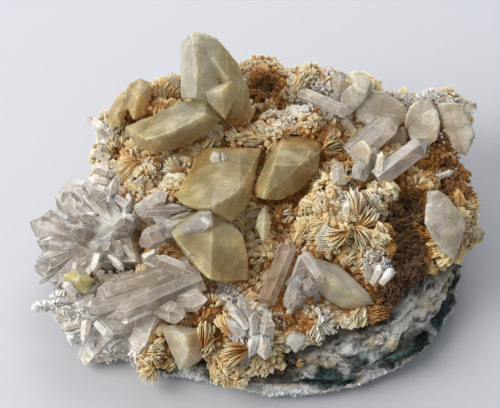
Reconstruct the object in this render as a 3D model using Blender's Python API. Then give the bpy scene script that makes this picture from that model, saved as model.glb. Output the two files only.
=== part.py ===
"""Calcite with quartz: a cabinet specimen on its own piece of rock.

A slab of pale altered rock, broken off flat underneath, carries a crust of thin calcite
blades grown into rosettes. Honey-coloured calcite crystals, thick pale calcite plates and
sprays of clear quartz prisms stand on the crust. Every crystal is a convex solid with flat
faces; those that grew through each other are joined, and each piece keeps a narrow gap
round the pieces that grew before it.

Sizes are in millimetres until a mesh is made. The crystals are laid out as they appear
from an eye in front of the specimen and above it: (across, up) on an upright sighting
plane through the middle, and the height over the resting face.
"""

import math
import random

import bmesh
import bpy
from mathutils import Matrix, Vector, noise

for old in list(bpy.data.objects):
    bpy.data.objects.remove(old)
noise.seed_set(4)

MM = 0.001

# Sighting plane: how far down the eye looks, how far off it is, and where it looks
EYE_TILT = math.radians(50)
EYE_DISTANCE = 420
EYE_TARGET = Vector((0, 0, 17))

# Clearance between neighbouring pieces, and the size of the block that crystals are cut from
GAP = 0.3
BLOCK = 200

# Rock slab: its height over the middle, and how its top rises to the right and to the back
ROCK_HEIGHT = 15.5
ROCK_RISE_RIGHT = 0.10
ROCK_RISE_BACK = 0.09
ROCK_SIDES = 30
ROCK_ROUGHNESS = 1.5

# Outline of the slab at its widest, anticlockwise from the right-hand side
ROCK_OUTLINE = (
    (54, -6), (52.5, -17), (48.5, -28), (41.5, -37), (31.5, -43.5), (19, -47.5), (6, -47.5),
    (-6, -45), (-18, -41.5), (-30, -37), (-39, -32), (-43, -23), (-44.5, -11), (-41, 3),
    (-37, 14), (-35, 25), (-26, 33), (-12, 36), (4, 38), (20, 37), (36, 33), (49, 30), (55, 19),
    (56, 6),
)

# The slab's side, from the flat base up: share of its height, and share of its outline
ROCK_PROFILE = (
    (0.0, 0.93), (0.12, 0.985), (0.25, 1.0), (0.36, 0.955), (0.5, 0.965), (0.66, 0.9),
    (0.84, 0.86), (0.95, 0.78), (1.0, 0.5), (1.02, 0.2),
)

# The bed of fused blades under the rosettes. It stops short of the slab's edge in front, on
# the right, where the broken side of the rock shows.
BED_THICKNESS = 4
BED_OUTLINE = (
    (51, 4), (52, -6), (51.5, -14), (46.5, -19.5), (40.5, -21.5), (37, -24), (34, -30),
    (31, -34), (24, -36), (19, -37.5), (13, -40), (7, -41), (0, -41.5), (-11, -41.5),
    (-22, -38.5), (-31, -34), (-37, -27), (-39.5, -17), (-40, -6), (-38, 4), (-34.5, 14),
    (-32.5, 24), (-25, 31), (-12, 34), (4, 36), (20, 34), (34, 30), (46, 28), (51, 18),
)
BED_PROFILE = ((-6, 0.95), (0.5, 1.0), (2.5, 0.98), (3.8, 0.8), (4, 0.45))

# Rosettes of the crust: (across, up, height of the top, radius)
ROSETTES = (
    (-25, 9.5, 24, 7), (-18.5, 5, 25, 6.5), (-28.5, 3.5, 21, 6), (-34, 9, 19, 6),
    (-14, 11, 25, 6), (-11, 17, 26, 6), (-36.5, 8.5, 16, 5), (-35, 15, 17, 6),
    (-33.5, 22, 19, 6), (-27.5, 28, 21, 6), (-21.5, 30.5, 24, 6), (-22.5, 24.5, 25, 6),
    (-3, 18.5, 27, 6), (3, 35.5, 32, 7), (1.5, 27.5, 28, 7), (9, 31.5, 29, 5.5),
    (14.5, 33.5, 31, 6.5), (20, 32.5, 30, 6), (27.5, 30, 27, 6.5), (6.5, 21.5, 30, 7),
    (15, 22.5, 30, 7), (21, 17.5, 26, 6), (20.5, 4, 31, 8), (20, -5, 28, 7),
    (26.5, -2.5, 28, 8), (31.5, -8, 27, 7), (25, -11, 24, 6), (32, 3, 29, 7),
    (37.5, 10, 28, 7), (42, 7, 27, 6), (50.5, 8.5, 25, 6.5), (52, 1.5, 22, 6),
    (51.5, -5.5, 19, 6), (45.5, -8.5, 21, 6), (32, -15.5, 23, 7), (41, -9, 21, 5.5),
    (12.5, -9, 24, 6), (8, -2, 24, 5), (0, 3, 25, 5), (2, -13, 21, 5.5), (-8, -24, 20, 6),
    (-11.75, -31.5, 16, 5), (-4.5, -37, 13, 6.5), (3, -35.5, 14, 5.5), (0, -27.5, 20, 7),
    (11, -32.5, 14, 5), (15.5, -26, 18, 6.5), (21.5, -24, 18, 6), (-25, -35, 11, 5.5),
    (37.5, 27, 28, 6.5), (45, 27.5, 27, 6), (51, 25.5, 25, 6), (27, 5, 28, 6), (46, 15, 26, 6),
)
ROSETTE_PLEATS = 4
ROSETTE_PLEAT_DEPTH = 0.22
ROSETTE_RINGS = 3

# Quartz: slope of its six end faces against the axis, and the angle that turns one into the next
QUARTZ_END_SLOPE = math.radians(38.2)
SIXTH_TURN = math.radians(60)

# A quartz prism narrower than this ends in three faces
SLENDER = 4.2


def seen(across, up, height):
    """The point at this height that the eye sees at (across, up) on the sighting plane."""
    toward_eye = Vector((0, -math.cos(EYE_TILT), math.sin(EYE_TILT)))
    upward = Vector((0, math.sin(EYE_TILT), math.cos(EYE_TILT)))
    eye = EYE_TARGET + toward_eye * EYE_DISTANCE
    sight = EYE_TARGET + Vector((across, 0, 0)) + upward * up - eye
    return eye + sight * ((height - eye.z) / sight.z)


def rock_top(x, y):
    return ROCK_HEIGHT + ROCK_RISE_RIGHT * x + ROCK_RISE_BACK * y


# Meshes and objects


def finish_mesh(bm, name, smooth=False):
    """A mesh in metres from a bmesh in millimetres."""
    bmesh.ops.recalc_face_normals(bm, faces=bm.faces)
    bmesh.ops.scale(bm, vec=(MM, MM, MM), verts=bm.verts)
    mesh = bpy.data.meshes.new(name)
    bm.to_mesh(mesh)
    bm.free()
    if smooth:
        mesh.shade_smooth()
        mesh.set_sharp_from_angle(angle=math.radians(35))
    return mesh


def helper_object(mesh):
    """A shape that only joins or cuts another."""
    helper = bpy.data.objects.new(mesh.name, mesh)
    bpy.context.scene.collection.objects.link(helper)
    helper.hide_render = True
    helper.display_type = "WIRE"
    return helper


def corners_of(mesh):
    """Lowest and highest corner of a mesh."""
    columns = list(zip(*(v.co for v in mesh.vertices)))
    return [min(c) for c in columns], [max(c) for c in columns]


def apart(first, second):
    low_a, high_a = corners_of(first)
    low_b, high_b = corners_of(second)
    return any(high_a[i] < low_b[i] or high_b[i] < low_a[i] for i in range(3))


def boolean(obj, others, operation):
    """Joins the other objects to this one, or cuts them out of it."""
    if not others:
        return
    group = bpy.data.collections.new(f"{obj.name}_{operation.lower()}")
    for other in others:
        group.objects.link(other)
    modifier = obj.modifiers.new(operation.title(), "BOOLEAN")
    modifier.operation = operation
    modifier.operand_type = "COLLECTION"
    modifier.collection = group


def plain_material(name, color, roughness, transmission=0.0):
    material = bpy.data.materials.new(name)
    material.use_nodes = True
    shader = material.node_tree.nodes["Principled BSDF"]
    shader.inputs["Base Color"].default_value = (*color, 1)
    shader.inputs["Roughness"].default_value = roughness
    shader.inputs["Metallic"].default_value = 0.0
    shader.inputs["Transmission Weight"].default_value = transmission
    return material


HONEY = plain_material("honey_calcite", (0.72, 0.62, 0.38), 0.3, 0.5)
PALE = plain_material("pale_calcite", (0.74, 0.69, 0.58), 0.35, 0.3)
QUARTZ = plain_material("clear_quartz", (0.78, 0.73, 0.70), 0.12, 0.8)
CRUST = plain_material("bladed_calcite", (0.76, 0.62, 0.42), 0.7)
ROCK = plain_material("altered_rock", (0.50, 0.47, 0.40), 0.9)


# Convex crystals


def cut_by_planes(planes):
    """The convex solid behind all of these (normal, distance) planes."""
    bm = bmesh.new()
    bmesh.ops.create_cube(bm, size=BLOCK)
    for normal, distance in planes:
        everything = bm.verts[:] + bm.edges[:] + bm.faces[:]
        cut = bmesh.ops.bisect_plane(
            bm, geom=everything, plane_co=normal * distance, plane_no=normal, clear_outer=True
        )
        rim = [e for e in cut["geom_cut"] if isinstance(e, bmesh.types.BMEdge)]
        if rim:
            bmesh.ops.contextual_create(bm, geom=rim)
    bmesh.ops.recalc_face_normals(bm, faces=bm.faces)
    return bm


def grown(bm, by):
    """A copy of a convex solid with every face moved outwards: the room that it takes up."""
    middle = sum((v.co for v in bm.verts), Vector()) / len(bm.verts)
    planes = [(f.normal.copy(), (f.verts[0].co - middle).dot(f.normal) + by) for f in bm.faces]
    room = cut_by_planes(planes)
    bmesh.ops.translate(room, vec=middle, verts=room.verts)
    return room


def hull_crystal(*points):
    """A crystal given by its corners, each (across, up, height)."""
    bm = bmesh.new()
    for point in points:
        bm.verts.new(seen(*point))
    made = bmesh.ops.convex_hull(bm, input=bm.verts)
    inside = [v for v in made["geom_interior"] if isinstance(v, bmesh.types.BMVert)]
    bmesh.ops.delete(bm, geom=inside, context="VERTS")
    bmesh.ops.recalc_face_normals(bm, faces=bm.faces)
    return bm


def plate_crystal(thickness, *rim):
    """A thick plate: its rim's corners, and the same ones again below them."""
    below = [(across, up, height - thickness) for across, up, height in rim]
    return hull_crystal(*rim, *below)


def quartz_crystal(root, tip, width, seed):
    """A six-sided prism from root to tip, each (across, up, height).

    Three end faces meet in its tip. A stout one has three smaller ones between them.
    """
    rng = random.Random(seed)
    start, end = seen(*root), seen(*tip)
    axis = end - start
    length = axis.length
    planes = [(Vector((0, 0, -1)), 0.0)]
    for side in range(6):
        angle = side * SIXTH_TURN
        outward = Vector((math.cos(angle), math.sin(angle), 0))
        planes.append((outward, width / 2 * rng.uniform(0.86, 1.1)))
    for side in range(6):
        if side % 2 and width < SLENDER:
            continue
        angle = side * SIXTH_TURN
        slope = Vector((math.cos(angle), math.sin(angle), 0)) * math.cos(QUARTZ_END_SLOPE)
        slope.z = math.sin(QUARTZ_END_SLOPE)
        smaller_face = 0.05 * width if side % 2 else -0.03 * width
        reach = length * slope.z + smaller_face + rng.uniform(-0.05, 0.05) * width
        planes.append((slope, reach))
    bm = cut_by_planes(planes)
    turn = axis.to_track_quat("Z", "Y").to_matrix() @ Matrix.Rotation(rng.uniform(0, 1), 3, "Z")
    bmesh.ops.rotate(bm, matrix=turn, verts=bm.verts)
    bmesh.ops.translate(bm, vec=start, verts=bm.verts)
    return bm


def knob(across, up, height, radius, seed):
    """A blunt lump of massive quartz that prisms stand on."""
    rng = random.Random(seed)
    planes = [(Vector((0, 0, 1)), radius * 0.8), (Vector((0, 0, -1)), radius * 0.9)]
    for side in range(5):
        angle = (side + rng.uniform(-0.2, 0.2)) * math.tau / 5
        lean = rng.uniform(-0.5, 0.7)
        outward = Vector((math.cos(angle), math.sin(angle), lean)).normalized()
        planes.append((outward, radius * rng.uniform(0.75, 0.95)))
    bm = cut_by_planes(planes)
    middle = seen(across, up, height) - Vector((0, 0, radius * 0.8))
    bmesh.ops.translate(bm, vec=middle, verts=bm.verts)
    return bm


ROOM_TAKEN = []
PIECES = []


def crystal_piece(name, material, solids):
    """One node: crystals joined where they grew through each other, clear of the earlier ones."""
    rooms = [
        helper_object(finish_mesh(grown(bm, GAP), f"{name}_room_{i}"))
        for i, bm in enumerate(solids)
    ]
    meshes = [finish_mesh(bm, f"{name}_{i}") for i, bm in enumerate(solids)]
    piece = bpy.data.objects.new(name, meshes[0])
    bpy.context.scene.collection.objects.link(piece)
    piece.data.materials.append(material)
    boolean(piece, [helper_object(mesh) for mesh in meshes[1:]], "UNION")
    near = [
        room
        for room in ROOM_TAKEN
        if not all(apart(room.data, mesh) for mesh in meshes)
    ]
    boolean(piece, near, "DIFFERENCE")
    ROOM_TAKEN.extend(rooms)
    PIECES.append(piece)
    return piece


# Honey calcite


def honey_calcite():
    """The big yellow crystals. Three stand apart in the middle, and four make the top group."""
    crystal_piece("calcite_centre_right", HONEY, [hull_crystal(
        (8.5, 17.5, 27), (5.75, 9.75, 33), (3, 1.25, 31), (18, 17, 24), (18, 13.5, 25),
        (16.5, 8, 25), (12, 3.25, 25), (8.25, 0.75, 26), (12.5, 9.75, 31), (6, 14.5, 25),
        (3.25, 10, 26), (1, 4.5, 26), (1.25, 1.75, 26), (10, 13.5, 17), (6.25, 4.75, 18),
        (13.5, 11, 17),
    )])
    crystal_piece("calcite_centre_left", HONEY, [hull_crystal(
        (-8, 13.75, 27), (-9.5, -1, 33), (-12.5, 14.25, 24), (-15.75, 7.5, 25),
        (-18.5, 1.75, 27), (-17.25, 0, 28), (-13, -1, 31), (3, 14, 24), (-2.5, 13.5, 27),
        (1.5, 6, 26), (-0.5, -0.25, 26), (-4.5, -4.5, 28), (-9, -2.5, 31), (-2.5, 3.5, 31),
        (-6.25, 8.5, 16), (-12.5, 6, 17), (-2.5, 1, 18),
    )])
    crystal_piece("calcite_lower_centre", HONEY, [hull_crystal(
        (-9.5, -2.75, 29), (-10, -19.25, 26), (-21.75, -4.5, 24), (-18, -1.5, 23),
        (-14.5, -15, 22), (-18.25, -9.75, 24), (-4.5, -5, 27), (-1.75, -8, 26),
        (-0.5, -13.5, 24), (0, -19.5, 21), (-5.5, -20.5, 22), (-10, -9, 13),
        (-6.25, -15.25, 12), (-15, -7.75, 14),
    )])
    crystal_piece("calcite_spindle", HONEY, [hull_crystal(
        (3.75, 0.25, 26), (3.25, -10.75, 25), (5.5, -4.5, 26), (5, -7.25, 25.5),
        (1.5, -5.5, 26), (2.25, -2.5, 26), (3.5, -4.5, 28), (3.5, -6, 22),
    )])
    crystal_piece("calcite_lower_right", HONEY, [hull_crystal(
        (12.5, -13, 24), (18, -13.75, 24), (22, -15, 23), (25.5, -18.25, 22), (29.5, -22, 20),
        (31.75, -25.25, 18), (27, -26.5, 17), (23, -26, 18), (19.5, -24.25, 19),
        (16.25, -21.75, 20), (12.5, -19, 21), (21.25, -20.25, 27), (26.25, -23.25, 23.5),
        (17, -16.5, 27), (17.5, -19, 13), (23.75, -22.75, 12),
    )])
    crystal_piece("calcite_front_wedge", HONEY, [hull_crystal(
        (-23, -30.25, 14), (-20.5, -29.5, 15), (-11.25, -31, 14), (-10.75, -35.25, 12),
        (-12.5, -40, 9), (-15.75, -42.5, 7), (-17.75, -41.75, 8), (-20, -36.5, 11),
        (-16.25, -32.75, 18), (-15.5, -36.5, 16), (-16.25, -35.25, 6),
    )])
    front_blade = hull_crystal(
        (-17.25, 40.25, 44), (-14.75, 43, 47), (-13, 43, 47), (-10.75, 38.5, 44),
        (-8.75, 34.5, 41), (-7.5, 29.5, 38), (-8.5, 25.75, 35), (-17.5, 26.5, 34),
        (-17.5, 33.5, 39), (-13.25, 33, 43), (-13.75, 26.5, 38), (-12.5, 36, 36),
        (-13, 26.5, 25),
    )
    rear_blade = hull_crystal(
        (-14.5, 43.25, 46), (-11.25, 42.75, 45), (-8.5, 42, 45), (-5.75, 38.5, 43),
        (-2.5, 34.5, 39), (-0.25, 29, 35), (0.5, 24, 31), (0, 20.5, 28), (-4.5, 21.5, 30),
        (-8.75, 36, 32), (-4, 26, 20), (-5.5, 31, 40), (-3, 26, 36),
    )
    spike = hull_crystal(
        (-6.25, 21, 33), (-12.5, 27.75, 37), (-7, 28.5, 41), (-4.5, 31, 41), (-2.5, 28, 37),
        (-8.75, 29.75, 32), (-4, 27.5, 31), (-9.5, 24.75, 31),
    )
    long_body = hull_crystal(
        (-11.25, 26.5, 33), (-17.5, 25.5, 32), (-21.25, 22.25, 30), (-25, 20.75, 28),
        (-31.5, 19, 26), (-7, 21, 31), (-10, 18.25, 30), (-14.25, 15.5, 28),
        (-19.5, 13.25, 27), (-24.5, 12.25, 26), (-28.75, 14, 25), (-31.5, 17.25, 25),
        (-11.25, 22.25, 37), (-20, 18, 33), (-26.25, 16, 30), (-15, 21, 18), (-22.5, 17.25, 17),
    )
    crystal_piece("calcite_top_group", HONEY, [front_blade, rear_blade, spike, long_body])
    pale_blade = hull_crystal(
        (-30.5, 29.75, 25), (-27.5, 31.5, 27), (-25, 30.5, 27), (-24.75, 26.5, 26),
        (-26.25, 22.25, 25), (-29.25, 21, 24), (-31, 24.75, 24), (-28, 26.5, 30),
        (-28, 26.5, 15),
    )
    leaning_blade = hull_crystal(
        (-33, 27.25, 22), (-30.75, 28.5, 24), (-30.5, 24, 24), (-32.5, 19, 22),
        (-35.5, 19, 20), (-35.75, 22.25, 20), (-33.25, 23, 25), (-33.25, 23, 13),
    )
    crystal_piece("calcite_upper_left", HONEY, [pale_blade, leaning_blade])
    crystal_piece("calcite_far_left", HONEY, [hull_crystal(
        (-47, -17.5, 17), (-42.5, -15.5, 18), (-39, -19, 17), (-40.5, -22.5, 16),
        (-46, -22, 15), (-43, -19, 19.5), (-43.5, -19, 10),
    )])


def pale_calcite():
    """Thick pale plates along the right-hand side, standing like discs on edge."""
    crystal_piece("plate_back", PALE, [plate_crystal(
        3, (25.5, 26, 31), (29.5, 29, 32), (33.75, 28, 32), (37.5, 25.5, 31), (39.5, 24, 30),
        (38.75, 21, 29), (36.25, 18, 28), (31.25, 19, 28), (27, 21, 29),
    )])
    crystal_piece("plate_right_rear", PALE, [plate_crystal(
        3, (46.75, 25.25, 30), (50, 25.5, 30), (53, 25, 29), (55, 21, 28), (56.25, 17, 27),
        (54, 12, 25), (51, 13.5, 26), (48, 20, 28),
    )])
    crystal_piece("disc_right", PALE, [plate_crystal(
        4, (38.5, 20, 30), (39.5, 24, 31), (42, 26.3, 31.5), (45, 26, 31), (47.4, 23, 30.5),
        (48, 19.5, 30), (46.8, 16, 29), (44, 13.8, 28.5), (40.5, 15, 29),
    )])
    crystal_piece("plate_right_front", PALE, [plate_crystal(
        3, (44, 3.5, 30), (47, 3.8, 30), (50, 1.5, 29), (54.5, -5, 27), (53, -9, 26),
        (51, -14, 25), (47.5, -12, 26), (43.5, -5, 29),
    )])
    crystal_piece("bowed_plate_back", PALE, [plate_crystal(
        3, (22.5, 27.5, 33), (24.5, 29, 33), (27.5, 31.5, 34), (30.5, 31.5, 34), (31, 28.8, 33),
        (25, 22.5, 31), (22.8, 22, 31),
    )])


# Quartz


def quartz():
    """Sprays on the left, single prisms elsewhere: (root, tip, width) for each crystal."""
    sprays = {
        "quartz_spray_left": (
            ((-32, -7, 15), (-42, 2.5, 18), 2.4), ((-34.5, -7.75, 15), (-43.5, 0.5, 17), 2.2),
            ((-32, -4.5, 15), (-40, 3.5, 20), 2.6), ((-36, -7, 15), (-43.25, -2.5, 18.5), 2.6),
            ((-37, -8.5, 14), (-43.5, -4.75, 17.5), 2.4), ((-32.5, -5.25, 15), (-36.75, 3.5, 21), 3),
            ((-31, -4.5, 15), (-33, 5, 20), 3.2), ((-31, -5.25, 15), (-29.75, 3.5, 20), 3),
            ((-33, 2.25, 14), (-39.5, 5.75, 18), 4.5), ((-40, -4, 12), (-47, 3, 14.5), 4.6),
            ((-38.75, -2.75, 12), (-44.5, 5, 14.5), 4.6), ((-41.25, -7, 13), (-52.5, -3, 14.5), 5.2),
            ((-42.5, -9, 13), (-55.5, -4.5, 14), 6), ((-42.5, -11.5, 12), (-53.5, -9, 13.5), 4.8),
            ((-42.5, -11.5, 12), (-53.5, -14.5, 12), 4.8), ((-41.25, -11.5, 12), (-51.25, -18.5, 12), 4.4),
            ((-40.5, -12.75, 12), (-48.75, -21.5, 12), 4.4), ((-38.75, -9, 14), (-45, -6.5, 21), 4.6),
            ((-31.25, -7.75, 14), (-28.75, -2.75, 23), 3.4), ((-32.5, -7.75, 14), (-31.5, -5, 24), 3.6),
            ((-34.5, -9, 14), (-35.5, -11.5, 22), 3), ((-35.5, -10.25, 14), (-40, -14.5, 19), 3.4),
        ),
        "quartz_prisms_left": (
            ((-15, -15.5, 20), (-39, -23.25, 16.5), 4.4), ((-17.5, -19.5, 18), (-41.5, -26.25, 14.5), 4.4),
            ((-12, -19.25, 20), (-35, -29, 17), 5.6), ((-18.5, -16, 20), (-27.5, -12.75, 21.5), 3.2),
            ((-13.75, -17.75, 21), (-24.5, -13.5, 23), 3.2), ((-20, -24, 16), (-10.5, -24, 21), 4.6),
            ((-25, -24, 15), (-16.25, -28.5, 19), 4.6),
        ),
        "quartz_blocks_front_left": (
            ((-30, -25.25, 13), (-35.5, -37, 7), 5.5), ((-24.5, -27, 13), (-29, -39.5, 6.5), 6.5),
            ((-32.5, -28, 12), (-40.5, -35, 7.5), 5), ((-37.5, -27, 12), (-44.5, -32.5, 8.5), 5),
            ((-38.75, -25.25, 12), (-48.75, -29.5, 10.5), 4.5), ((-38.75, -24, 12), (-50, -23, 11.5), 4),
            ((-44, -25.25, 10), (-54.25, -25.75, 11.5), 2.2),
        ),
        "quartz_prisms_centre": (
            ((-27.5, -2, 20), (-20.25, 3, 26), 4), ((-16, -2.25, 23), (-27.75, -2.5, 22), 3),
            ((-14.5, -4.5, 24), (-28.25, -10, 21), 5.2),
        ),
        "quartz_prism_rosy": (((-15.5, -7.75, 24), (-9.5, -2, 32), 4.6),),
        "quartz_group_lower_right": (
            ((13.75, -13.5, 24), (9.25, -26.25, 21), 2.8), ((13.75, -13, 25), (18.25, -19.5, 28), 2.4),
            ((14.5, -21.5, 17), (15.75, -19.75, 28.5), 3.8), ((12, -21.5, 17), (12.75, -19.5, 26.5), 3.4),
        ),
        "quartz_prism_right": (((31.5, 6.25, 28), (44.5, 16.25, 33), 5.4),),
        "quartz_prism_rear_right": (((25.25, 12, 26), (36.75, 22.5, 34), 5.6),),
        "quartz_prism_upright": (((30, 16, 25), (27, 6.25, 31), 3.8),),
        "quartz_prism_back": (((22.75, 24.5, 27), (22.25, 33.25, 36), 3.4),),
        "quartz_prism_leaning": (((13, 27.5, 28), (25, 22.5, 33.5), 3.2),),
        "quartz_prism_long": (((4.25, -24.5, 19), (10.75, -8.75, 24), 4.2),),
        "quartz_tip_far_right": (((51.5, 20.5, 26), (56.75, 25.5, 29), 2.6),),
        "quartz_tip_upper_left": (((-36.5, 19, 16), (-40.75, 22, 17), 2.2),),
    }
    knobs = {
        "quartz_spray_left": (
            (-34, -8, 17, 6.5), (-41, -9, 15, 6.5), (-41, -4, 15, 6), (-42, 0, 14, 5.5),
            (-37, 3, 16, 6), (-46, -15, 13, 5.5),
        ),
        "quartz_blocks_front_left": ((-34, -28, 13, 6), (-39, -28.5, 12, 5), (-42.5, -26, 12, 5)),
        "quartz_prisms_left": ((-19, -20, 18, 5),),
        "quartz_prisms_centre": ((-19, -3, 23, 4),),
        "quartz_group_lower_right": ((13.5, -21, 19, 4.5),),
    }
    seed = 0
    for name, crystals in sprays.items():
        solids = []
        for root, tip, width in crystals:
            seed += 1
            solids.append(quartz_crystal(root, tip, width, seed))
        for across, up, height, radius in knobs.get(name, ()):
            seed += 1
            solids.append(knob(across, up, height, radius, seed))
        crystal_piece(name, QUARTZ, solids)


# Rock and crust


def reach(outline, angle):
    """Distance of an outline from the middle, in this direction."""
    directions = [math.atan2(y, x) % math.tau for x, y in outline]
    reaches = [math.hypot(x, y) for x, y in outline]
    order = sorted(range(len(directions)), key=directions.__getitem__)
    for this, following in zip(order, order[1:] + order[:1]):
        span = (directions[following] - directions[this]) % math.tau
        past = (angle - directions[this]) % math.tau
        if past <= span:
            share = past / span
            eased = share * share * (3 - 2 * share)
            return reaches[this] * (1 - eased) + reaches[following] * eased
    return reaches[0]


def ring_points(outline, share_out, height_at, roughness):
    """A closed ring of points round the slab, at this share of an outline."""
    points = []
    for side in range(ROCK_SIDES):
        angle = math.tau * side / ROCK_SIDES
        out = reach(outline, angle) * share_out
        point = Vector((math.cos(angle) * out, math.sin(angle) * out, 0))
        point.z = height_at(point)
        rough = noise.noise_vector(point * 0.14) * roughness
        rough.z *= 0.5
        points.append(point + rough)
    return points


def skin_rings(rings, top):
    """A closed solid through these rings, flat underneath, with a point on top."""
    bm = bmesh.new()
    loops = [[bm.verts.new(point) for point in ring] for ring in rings]
    bm.faces.new(loops[0])
    for lower, upper in zip(loops, loops[1:]):
        for side in range(ROCK_SIDES):
            after = (side + 1) % ROCK_SIDES
            bm.faces.new((lower[side], lower[after], upper[after], upper[side]))
    peak = bm.verts.new(top)
    for side in range(ROCK_SIDES):
        bm.faces.new((loops[-1][side], loops[-1][(side + 1) % ROCK_SIDES], peak))
    bmesh.ops.recalc_face_normals(bm, faces=bm.faces)
    return bm


def rock_solid():
    rings = []
    for share_up, share_out in ROCK_PROFILE:
        roughness = ROCK_ROUGHNESS if share_up else 0

        def height_at(point, share_up=share_up):
            return rock_top(point.x, point.y) * share_up

        rings.append(ring_points(ROCK_OUTLINE, share_out, height_at, roughness))
    return skin_rings(rings, Vector((0, 0, ROCK_HEIGHT * 1.03)))


def bed_solid():
    rings = []
    for above, share_out in BED_PROFILE:

        def height_at(point, above=above):
            return rock_top(point.x, point.y) + above

        rings.append(ring_points(BED_OUTLINE, share_out, height_at, 1.0))
    return skin_rings(rings, Vector((0, 0, ROCK_HEIGHT + BED_THICKNESS)))


def rosette_solid(across, up, height, radius, seed):
    """A pleated lump: blades stand on edge round a line that lies along the crust."""
    rng = random.Random(seed)
    bm = bmesh.new()
    bmesh.ops.create_uvsphere(
        bm, u_segments=ROSETTE_PLEATS * 2, v_segments=ROSETTE_RINGS, radius=radius
    )
    for vert in bm.verts:
        pleat = round(math.atan2(vert.co.y, vert.co.x) / (math.pi / ROSETTE_PLEATS))
        if math.hypot(vert.co.x, vert.co.y) > 1e-3 and pleat % 2:
            vert.co *= 1 - ROSETTE_PLEAT_DEPTH
        vert.co *= rng.uniform(0.9, 1.08)
        vert.co.z *= 1.1
    lie = Matrix.Rotation(math.radians(90), 3, "X")
    turn = Matrix.Rotation(rng.uniform(0, math.pi), 3, "Z")
    bmesh.ops.rotate(bm, matrix=turn @ lie, verts=bm.verts)
    middle = seen(across, up, height) - Vector((0, 0, radius * 0.85))
    bmesh.ops.translate(bm, vec=middle, verts=bm.verts)
    return bm


def rock_and_crust():
    """The crust lies on the rock, and both keep clear of every crystal's root."""
    lumps = [
        helper_object(finish_mesh(rosette_solid(*rosette, seed), f"rosette_{seed}"))
        for seed, rosette in enumerate(ROSETTES)
    ]
    under = rock_solid()
    bmesh.ops.scale(under, vec=(1.009, 1.009, 1), verts=under.verts)
    bmesh.ops.translate(under, vec=(0, 0, GAP * 1.3), verts=under.verts)
    deep = [v for v in under.verts if v.co.z < 1]
    bmesh.ops.translate(under, vec=(0, 0, -2), verts=deep)
    rock_room = helper_object(finish_mesh(under, "rock_room"))

    crust = bpy.data.objects.new("bladed_crust", finish_mesh(bed_solid(), "bladed_crust"))
    bpy.context.scene.collection.objects.link(crust)
    crust.data.materials.append(CRUST)
    boolean(crust, lumps, "UNION")
    boolean(crust, [rock_room, *ROOM_TAKEN], "DIFFERENCE")

    rock = bpy.data.objects.new("rock", finish_mesh(rock_solid(), "rock"))
    bpy.context.scene.collection.objects.link(rock)
    rock.data.materials.append(ROCK)
    boolean(rock, [r for r in ROOM_TAKEN if not apart(r.data, rock.data)], "DIFFERENCE")
    PIECES.extend([crust, rock])


def keep_one_body(piece):
    """Takes the cuts and joins into the mesh, and drops the crumbs that they leave."""
    graph = bpy.context.evaluated_depsgraph_get()
    mesh = bpy.data.meshes.new_from_object(piece.evaluated_get(graph))
    bm = bmesh.new()
    bm.from_mesh(mesh)
    unseen = set(bm.faces)
    bodies = []
    while unseen:
        body = set()
        front = [unseen.pop()]
        while front:
            face = front.pop()
            body.add(face)
            beside = {f for e in face.edges for f in e.link_faces} & unseen
            unseen -= beside
            front.extend(beside)
        bodies.append(body)
    largest = max(bodies, key=lambda body: sum(f.calc_area() for f in body))
    crumbs = [f for f in bm.faces if f not in largest]
    bmesh.ops.delete(bm, geom=crumbs, context="FACES")
    bm.to_mesh(mesh)
    bm.free()
    piece.modifiers.clear()
    piece.data = mesh


def stand_on_middle():
    """Moves everything so that the origin is under the middle of the specimen."""
    specimen = bpy.data.objects.new("specimen", None)
    bpy.context.scene.collection.objects.link(specimen)
    for obj in bpy.data.objects:
        if obj is not specimen:
            obj.parent = specimen
    boxes = [corners_of(piece.data) for piece in PIECES]
    for axis in (0, 1):
        low = min(box[0][axis] for box in boxes)
        high = max(box[1][axis] for box in boxes)
        specimen.location[axis] = -(low + high) / 2


honey_calcite()
pale_calcite()
quartz()
rock_and_crust()
for piece in PIECES:
    keep_one_body(piece)
for helper in [obj for obj in bpy.data.objects if obj not in PIECES]:
    bpy.data.objects.remove(helper)
stand_on_middle()
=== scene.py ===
import math
import random
from itertools import product

import bmesh
import bpy
import numpy as np
from mathutils import Matrix, Vector, kdtree, noise
from mathutils.bvhtree import BVHTree


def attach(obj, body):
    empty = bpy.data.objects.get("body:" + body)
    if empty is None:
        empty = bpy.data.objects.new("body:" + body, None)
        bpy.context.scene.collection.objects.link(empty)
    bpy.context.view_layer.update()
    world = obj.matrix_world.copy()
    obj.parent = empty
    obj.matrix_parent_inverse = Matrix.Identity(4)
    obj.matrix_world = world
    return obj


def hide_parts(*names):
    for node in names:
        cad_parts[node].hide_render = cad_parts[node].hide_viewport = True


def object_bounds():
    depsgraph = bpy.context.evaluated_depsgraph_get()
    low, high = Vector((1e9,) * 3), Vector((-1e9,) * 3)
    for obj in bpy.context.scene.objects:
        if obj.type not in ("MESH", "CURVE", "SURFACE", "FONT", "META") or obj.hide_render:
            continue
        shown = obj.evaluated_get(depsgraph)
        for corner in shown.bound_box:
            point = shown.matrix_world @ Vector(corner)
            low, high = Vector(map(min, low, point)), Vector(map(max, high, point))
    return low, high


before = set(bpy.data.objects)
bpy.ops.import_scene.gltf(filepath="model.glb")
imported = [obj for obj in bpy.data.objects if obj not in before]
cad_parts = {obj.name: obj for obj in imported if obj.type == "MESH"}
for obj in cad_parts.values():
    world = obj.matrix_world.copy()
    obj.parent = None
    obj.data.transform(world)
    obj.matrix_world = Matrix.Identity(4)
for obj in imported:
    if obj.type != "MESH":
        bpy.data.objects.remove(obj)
cad_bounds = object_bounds()
noise.seed_set(4)

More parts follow.
